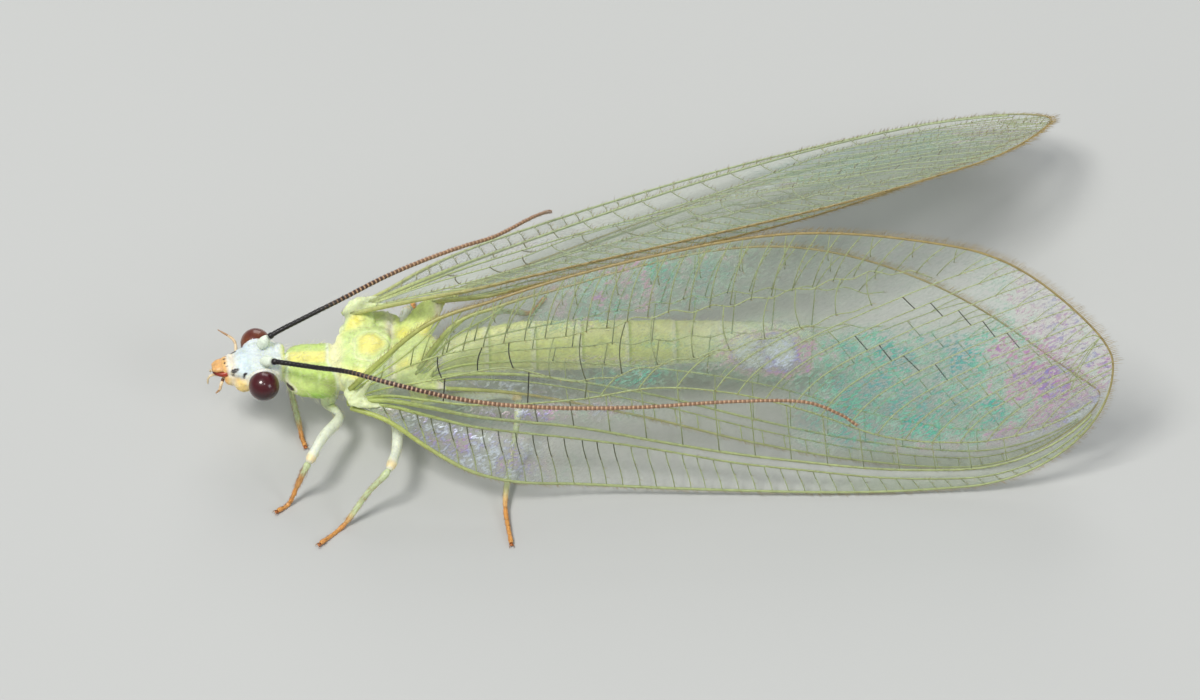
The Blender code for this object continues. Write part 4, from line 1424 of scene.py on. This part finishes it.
def hind_ribs(net, start, end, step):
    """Veins from the cubitus out to the hind margin, every other one forked."""
    for number, u in enumerate(np.arange(start, end, step)):
        reach = u + 0.030 + 0.012 * step_up(u, 0.4, 0.7)
        inner, outer = net.spot("cubitus", u), net.spot("hind", reach)
        net.rib(inner, outer, 0.015, 0.1, 0.06, 0.5)
        if number % 2:
            fork = inner + (outer - inner) * 0.5 + (0.002, 0.0)
            net.rib(fork, net.spot("hind", reach - 0.013), 0.013, 0.1, 0.05, 0.4)


def anal_veins(net):
    """The short veins at the wing's hind root corner."""
    for share, end in ((0.80, 0.13), (0.90, 0.075)):
        u = np.linspace(0.0, end, 24)
        v = net.wing.across(u, share + (1.0 - share) * (u / end) ** 3)
        net.add(np.c_[u, v], 0.020, hair=0.5)
    for u in (0.045, 0.085):
        net.rib(net.spot("cubitus", u), (u + 0.006, net.wing.across(u + 0.006, 0.88)[0]), dark=0.5)


def hindwing_net(net):
    u = np.linspace(0.0, 0.97, 150)
    net.add(margin_line(net.wing), 0.030, -1.0, 0.0, 0)
    for name, thick in (("subcosta", 0.020), ("radius", 0.030), ("sector", 0.021)):
        net.follow(name, u, thick, 0.8)
    for name, swing in (("media", 0.0035), ("cubitus", 0.004)):
        net.follow(name, np.linspace(0.0, 0.26, 36), 0.017, 0.6)
        net.kink(name, 0.26, 0.68, 0.028, swing, 0.014, 0.6)
    for u in np.arange(0.22, 0.92, 0.032):
        net.tie("subcosta", "front", u, thick=0.014, hair=0.2)
    for u in np.arange(0.22, 0.88, 0.055):
        net.tie("radius", "sector", u, -0.003, dark=0.2)
    for first, second, start, step in (("sector", "media", 0.20, 0.075), ("media", "cubitus", 0.17, 0.058)):
        for u in np.arange(start, 0.62, step):
            net.tie(first, second, u, dark=0.3)
    hind_ribs(net, 0.10, 0.66, 0.032)
    branches = add_branches(net, np.arange(0.40, 0.92, 0.045), 0.015, 0.5)
    add_steps(net, branches, (0.64, 0.120, -0.42, 0.0, 0.85), 0.4)
    add_steps(net, branches, (0.62, 0.045, -0.42, 0.0, 0.80), 0.4)
    anal_veins(net)


def add_branches(net, starts, thick, hair):
    """The sector's branches, most of them split in two a little before the margin."""
    branches = [branch_line(net.wing, start) for start in starts]
    for branch in branches:
        net.add(branch, thick, hair=hair)
        if len(branch) >= 26 and branch[-1][0] >= MEDIA_END:
            end = net.spot("hind", min(branch[-1][0] - 0.012, 0.985))
            net.rib(branch[-12], end, 0.014, 0.0, 0.04, 0.4)
    return branches


def make_veins(net, look, tones):
    """Every vein as a fine tube on the film, pale green, with some crossveins black."""
    pale, dark_tint, root_tint = tones
    wing, gather = net.wing, Gather()
    for line, thick, dark, _ in net.lines:
        u, v = line.T
        points = wing.place(u, v)
        normals = np.broadcast_to(wing.axes[2], points.shape)
        share = np.linspace(0, 1, len(line))
        swell = 0.8 if thick > 0.02 else 0.1
        taper = 1.0 - 0.30 * step_up(u, 0.3, 1.0) + swell * (1 - step_up(u, 0.0, 0.24))
        tint = blend(pale, dark_tint, dark * np.ones(len(line)))
        tint = blend(tint, screen(156, 138, 90), max(-dark, 0.0) * step_up(v, -0.14, 0.02))
        tint = blend(tint, root_tint, (1 - step_up(u, 0.02, 0.22)) * (1 - max(dark, 0.0)) * 0.8)
        if 0 < dark < 1:
            tint = blend(tint, dark_tint, 0.5 * bump(share, 0.0, 0.3))
        gather.add(tube(points, thick * taper, 7, normals, 0.85), ringed(tint, 7))
    gather.build(wing.name + "_veins", look, "wing", (wing.name,))


def nearest_vein(net, spots, length):
    """How far each (u, v) lies from the nearest vein, in millimetres."""
    samples = np.concatenate([resampled(line, 0.0035) for line, *_ in net.lines]) * length
    nearest = np.empty(len(spots))
    for start in range(0, len(spots), 1500):
        part = spots[start:start + 1500] * length
        gaps = (part[:, None, 0] - samples[None, :, 0]) ** 2 + (part[:, None, 1] - samples[None, :, 1]) ** 2
        nearest[start:start + 1500] = np.sqrt(gaps.min(1))
    return nearest


def sheen_field(u, share):
    """Where glints are painted on the film, and in which hue: 0 blue, 0.2 teal, 0.5 rose, 0.7 violet, 1
    white. The glare is a painted highlight.
    """
    inner = step_up(share, 0.13, 0.22)
    field = step_up(u, 0.55, 0.64) * inner * (1 - 0.9 * step_up(share - 0.3 * (u - 0.8), 0.62, 0.72))
    tip = step_up(u, 0.80, 0.92)
    costal = bump(u, 0.15, 0.10) * (1 - step_up(share, 0.20, 0.30))
    strip = bump(u, 0.38, 0.13) * step_up(share, 0.72, 0.78)
    seam = bump(u, 0.27, 0.11) * bump(share, 0.36, 0.05)
    # A painted highlight: a bright glare patch, white-blue in hue
    glare = bump(u, 0.55, 0.055) * bump(share, 0.56, 0.09)
    middle = bump(u, 0.37, 0.07) * bump(share, 0.50, 0.05)
    glint = 0.04 + 0.86 * field + 0.7 * tip * inner + 0.95 * costal + 0.8 * strip
    glint += 0.9 * seam + 1.3 * glare + 0.9 * middle
    hue = 0.12 + 0.50 * tip + 0.30 * step_up(u, 0.6, 0.8) * (1 - step_up(share, 0.16, 0.30))
    hue += 0.26 * np.clip(strip * 1.5, 0, 1) * (1 - 0.6 * step_up(u, 0.38, 0.52)) + 0.10 * middle
    for patch, tone in ((costal * 2, 0.76), (seam * 2, 0.46), (glare * 1.5, 0.88)):
        hue += tone * np.clip(patch, 0, 1)
    return np.clip(glint, 0, 1), np.clip(hue, 0, 1), 0.7 * glare


def make_film(net, look, painted_glow):
    """The clear film, domed a little in every cell of the net, as a thin closed sheet, its tint carrying
    painted glints and a painted glare.
    """
    wing = net.wing
    stations = 0.5 - 0.5 * np.cos(np.pi * (np.arange(FILM_ROWS) + 0.25) / FILM_ROWS)
    u = np.repeat(stations, FILM_LINES)
    share = np.tile(np.linspace(0, 1, FILM_LINES), FILM_ROWS)
    v = wing.across(u, share)
    away = nearest_vein(net, np.c_[u, v], wing.length)
    dome = 0.028 * (1 - np.exp(-((away / 0.14) ** 2)))
    # Painted glints, their hue, and a painted glare
    glint, hue, glare = sheen_field(u, share)
    patches = grain(np.c_[u * wing.length, v * wing.length, 0 * u], 0.9, 8)
    cell = 0.74 + 0.26 * np.clip(patches * 1.8, -1, 1)
    # Milky film at the root, near the veins and by the front margin, plus the painted glare
    milky_and_glare = 0.6 * step_up(u, 0.55, 0.75) * (1 - step_up(share, 0.03, 0.09)) + 0.25 * bump(away, 0.0, 0.05)
    milky_and_glare += 0.5 * (1 - step_up(u, 0.03, 0.12)) + glare
    tint = np.c_[glint * cell * painted_glow * step_up(away, 0.0, 0.06), hue, np.clip(milky_and_glare, 0, 1)]
    outer = wing.place(u, v, dome + MEMBRANE / 2)
    inner = wing.place(u, v, dome - MEMBRANE / 2)
    points, faces = np.r_[outer, inner], sheet_faces(FILM_ROWS, FILM_LINES)
    if wing.axes[1] @ np.cross(wing.axes[2], wing.axes[0]) < 0:
        faces = faces[:, ::-1]
    gather = Gather()
    gather.add((points, faces), np.r_[tint, tint])
    gather.build(wing.name + "_film", look, "wing")


def sheet_faces(rows, lines):
    """Quads of a sheet with two faces and a rim."""
    count = rows * lines
    i, j = np.meshgrid(np.arange(rows - 1), np.arange(lines - 1), indexing="ij")
    a = (i * lines + j).ravel()
    top = np.stack([a, a + lines, a + lines + 1, a + 1], 1)
    rim = np.r_[np.arange(rows) * lines, (rows - 1) * lines + np.arange(1, lines),
                np.arange(rows - 2, -1, -1) * lines + lines - 1, np.arange(lines - 2, 0, -1)]
    after = np.roll(rim, -1)
    edge = np.stack([rim, rim + count, after + count, after], 1)
    return np.r_[top, top[:, ::-1] + count, edge]


def make_wing_hair(net, seed, fringe_tint):
    """Hairs along the veins, and a close fringe round the margin."""
    draw = np.random.default_rng(seed)
    wing = net.wing
    along, chord, outward = wing.axes
    roots, ways, lengths, spots, shade = [], [], [], [], []
    for line, thick, _, hair in net.lines:
        if hair <= 0:
            continue
        fine = resampled(line, 0.0058 / hair)
        fine = fine[draw.random(len(fine)) < 0.9]
        count = len(fine)
        if not count:
            continue
        roots.append(wing.place(fine[:, 0], fine[:, 1], thick * 0.6))
        lean = draw.normal(0, 0.5, (count, 1)) * chord + (0.55 + draw.normal(0, 0.2, (count, 1))) * along
        ways.append(outward + lean)
        lengths.append(draw.uniform(0.07, 0.15, count))
        spots.append(fine)
        shade.append(draw.random(count))
    edge = resampled(margin_line(wing), 0.0024)
    middle = np.gradient(edge, axis=0)
    out = unit(np.c_[-middle[:, 1], middle[:, 0]]) * -1.0
    out[np.sum(out * (edge - (0.5, 0.0)), 1) < 0] *= -1.0
    for _ in range(2):
        pick = draw.random(len(edge)) < np.where(edge[:, 1] > 0, 0.95, 0.75)
        part, away = edge[pick], out[pick]
        count = len(part)
        roots.append(wing.place(part[:, 0], part[:, 1], 0.0))
        tilt = draw.normal(0, 0.35, (count, 1)) * outward + (0.45 + draw.normal(0, 0.15, (count, 1))) * along
        ways.append(away[:, :1] * along + away[:, 1:] * chord + tilt)
        lengths.append(draw.uniform(0.11, 0.20, count) * np.where(part[:, 1] > 0, 1.15, 0.75))
        spots.append(part)
        shade.append(0.3 * draw.random(count))
    roots, ways, lengths = np.concatenate(roots), np.concatenate(ways), np.concatenate(lengths)
    spots = np.concatenate(spots) * (0.94, 1.4) + (0.03, 0.5)
    tint = blend(fringe_tint, screen(84, 66, 36), np.concatenate(shade) * 0.8)
    gather = Gather()
    hairs(gather, roots, ways, lengths, WING_HAIR, 0.35 * along, tint, spots)
    gather.build(wing.name + "_hair", hair_look(), "wing", mapped=True)


# For each side: name, sign of Y, forewing's root, its yaw, pitch and slope, the bend at its root, then
# flare, bow and arch, the hindwing's swing in degrees and its distance below the forewing
WING_SIDES = (
    ("left", -1, (-0.02, -1.47, 2.24), (0.7, 2.24, 60.0), (0.0, 0.30, -0.30), 0.42, -0.16, 0.0, -4.0, 0.70),
    ("right", 1, (0.40, 1.26, 2.62), (20.9, -2.9, 34.2), (-0.46, 0.20, -0.56), 0.0, -0.10, 0.27, -2.0, 0.32),
)


def wing_list():
    """Forewing and hindwing of each side, left first, with the function that draws each one's veins."""
    wings = []
    for name, side, root, angles, bend, *form, swing, spacing in WING_SIDES:
        axes = wing_axes(side, *angles)
        along, chord, outward = axes
        fore = Wing("forewing_" + name, root, axes, FOREWING_LENGTH, FOREWING_FRONT, FOREWING_HIND,
                    FOREWING_VEINS, bend, *form)
        c, s = math.cos(math.radians(swing)), math.sin(math.radians(swing))
        hind_axes = (along * c + chord * s, chord * c - along * s, outward)
        hind_root = np.asarray(root) + 1.587 * along + 0.194 * chord - spacing * outward
        hind_rows = [(u, v * (1.0 if side < 0 else 0.86)) for u, v in HINDWING_HIND]
        hind = Wing("hindwing_" + name, hind_root, hind_axes, HINDWING_LENGTH, HINDWING_FRONT, hind_rows,
                    HINDWING_VEINS, (0.0, 0.0, 0.0), *form)
        wings += [(fore, forewing_net, name), (hind, hindwing_net, name)]
    return wings


def branch_axes(side):
    """Axes along the branches of that side's forewing, across them, and out of its film."""
    along, chord, outward = next(wing.axes for wing, _, name in wing_list() if name == side)
    return 0.906 * along + 0.423 * chord, 0.906 * chord - 0.423 * along, outward


def make_wings():
    vein_look = shell_look("vein_shell", 0.04, 0.38, 0.002, 0.14, flesh=0.1)
    films = {
        # The far film has a higher clear alpha than the near one, in part a painted reflection of its
        # grazing view
        "left": membrane_look("film_left", 0.035, screen(186, 198, 170), branch_axes("left")),
        "right": membrane_look("film_right", 0.17, screen(178, 190, 164), branch_axes("right")),
    }
    near_tones = screen(160, 171, 120), screen(30, 25, 24), screen(176, 192, 100)
    far_tones = screen(166, 178, 134), screen(96, 92, 74), screen(186, 196, 128)
    near_fringe, far_fringe = screen(168, 142, 74), screen(172, 150, 92)
    for number, (wing, draw_net, side) in enumerate(wing_list()):
        near = side == "left"
        net = Net(wing, 40 + number)
        draw_net(net)
        make_veins(net, vein_look, near_tones if near else far_tones)
        # The last number is how strong each wing's painted glints are, greatest on the near forewing
        make_film(net, films[side], (1.0, 0.6, 0.35, 0.35)[number])
        make_wing_hair(net, 60 + number, near_fringe if near else far_fringe)


# Floor, light and camera


def make_floor():
    look = Look("floor")
    pale = look.mixed(look.texture(NOISE, 30.0), (0.47, 0.475, 0.465), (0.51, 0.515, 0.505))
    look.wear({"Base Color": pale, "Roughness": 0.7})
    mesh = bpy.data.meshes.new("floor")
    mesh.from_pydata([(-2, -2, 0), (2, -2, 0), (2, 2, 0), (-2, 2, 0)], [], [(0, 1, 2, 3)])
    mesh.materials.append(look.material)
    floor = bpy.data.objects.new("floor", mesh)
    bpy.context.collection.objects.link(floor)


def aimed(thing, target):
    way = Vector(target) - thing.location
    thing.rotation_euler = way.to_track_quat("-Z", "Y").to_euler()


def make_light(name, place, size, power, colour):
    """A soft panel, in metres from the model's middle."""
    lamp = bpy.data.lights.new(name, "AREA")
    lamp.shape = "SQUARE"
    lamp.size = size
    lamp.energy = power
    lamp.color = colour
    thing = bpy.data.objects.new(name, lamp)
    thing.location = place
    aimed(thing, (0.0, 0.0, 0.002))
    bpy.context.collection.objects.link(thing)


def make_lights():
    make_light("key", (-0.16, -0.10, 0.36), 0.12, 1.24, (1.0, 0.985, 0.95))
    make_light("fill", (0.30, -0.24, 0.22), 0.14, 0.30, (0.94, 0.97, 1.0))
    make_light("glint", (0.03, -0.20, 0.34), 0.05, 0.10, (1.0, 0.97, 0.98))
    make_light("back", (0.05, 0.36, 0.24), 0.26, 0.60, (1.0, 1.0, 0.98))
    world = bpy.data.worlds.new("studio")
    world.use_nodes = True
    world.node_tree.nodes["Background"].inputs["Color"].default_value = (0.90, 0.95, 1.0, 1.0)
    world.node_tree.nodes["Background"].inputs["Strength"].default_value = 0.36
    bpy.context.scene.world = world
    bpy.context.scene.view_settings.view_transform = "Standard"


def make_camera():
    """The photograph's view: from the insect's left, above, and a little towards its head."""
    c, s = math.cos(AZIMUTH), math.sin(AZIMUTH)
    look = Vector((-s * math.cos(ELEVATION), c * math.cos(ELEVATION), -math.sin(ELEVATION)))
    right = Vector((c, s, 0.0))
    up = right.cross(look)
    camera = bpy.data.cameras.new("camera")
    camera.sensor_fit = "HORIZONTAL"
    camera.sensor_width = SENSOR_WIDTH
    camera.lens = DISTANCE / MM_PER_PIXEL * SENSOR_WIDTH / PICTURE_WIDTH
    camera.clip_start, camera.clip_end = 0.01, 20.0
    thing = bpy.data.objects.new("camera", camera)
    place = (Vector(TARGET) + Vector(SHIFT) - look * DISTANCE) * MM
    turn = Matrix((right, up, -look)).transposed().to_4x4()
    thing.matrix_world = Matrix.Translation(place) @ turn
    bpy.context.collection.objects.link(thing)
    bpy.context.scene.camera = thing


def main():
    make_skin()
    make_eyes()
    make_mouthparts()
    for name, corners in ANTENNAE.items():
        make_antenna(name, corners)
    make_legs()
    make_wings()
    make_floor()
    make_lights()
    make_camera()


main()
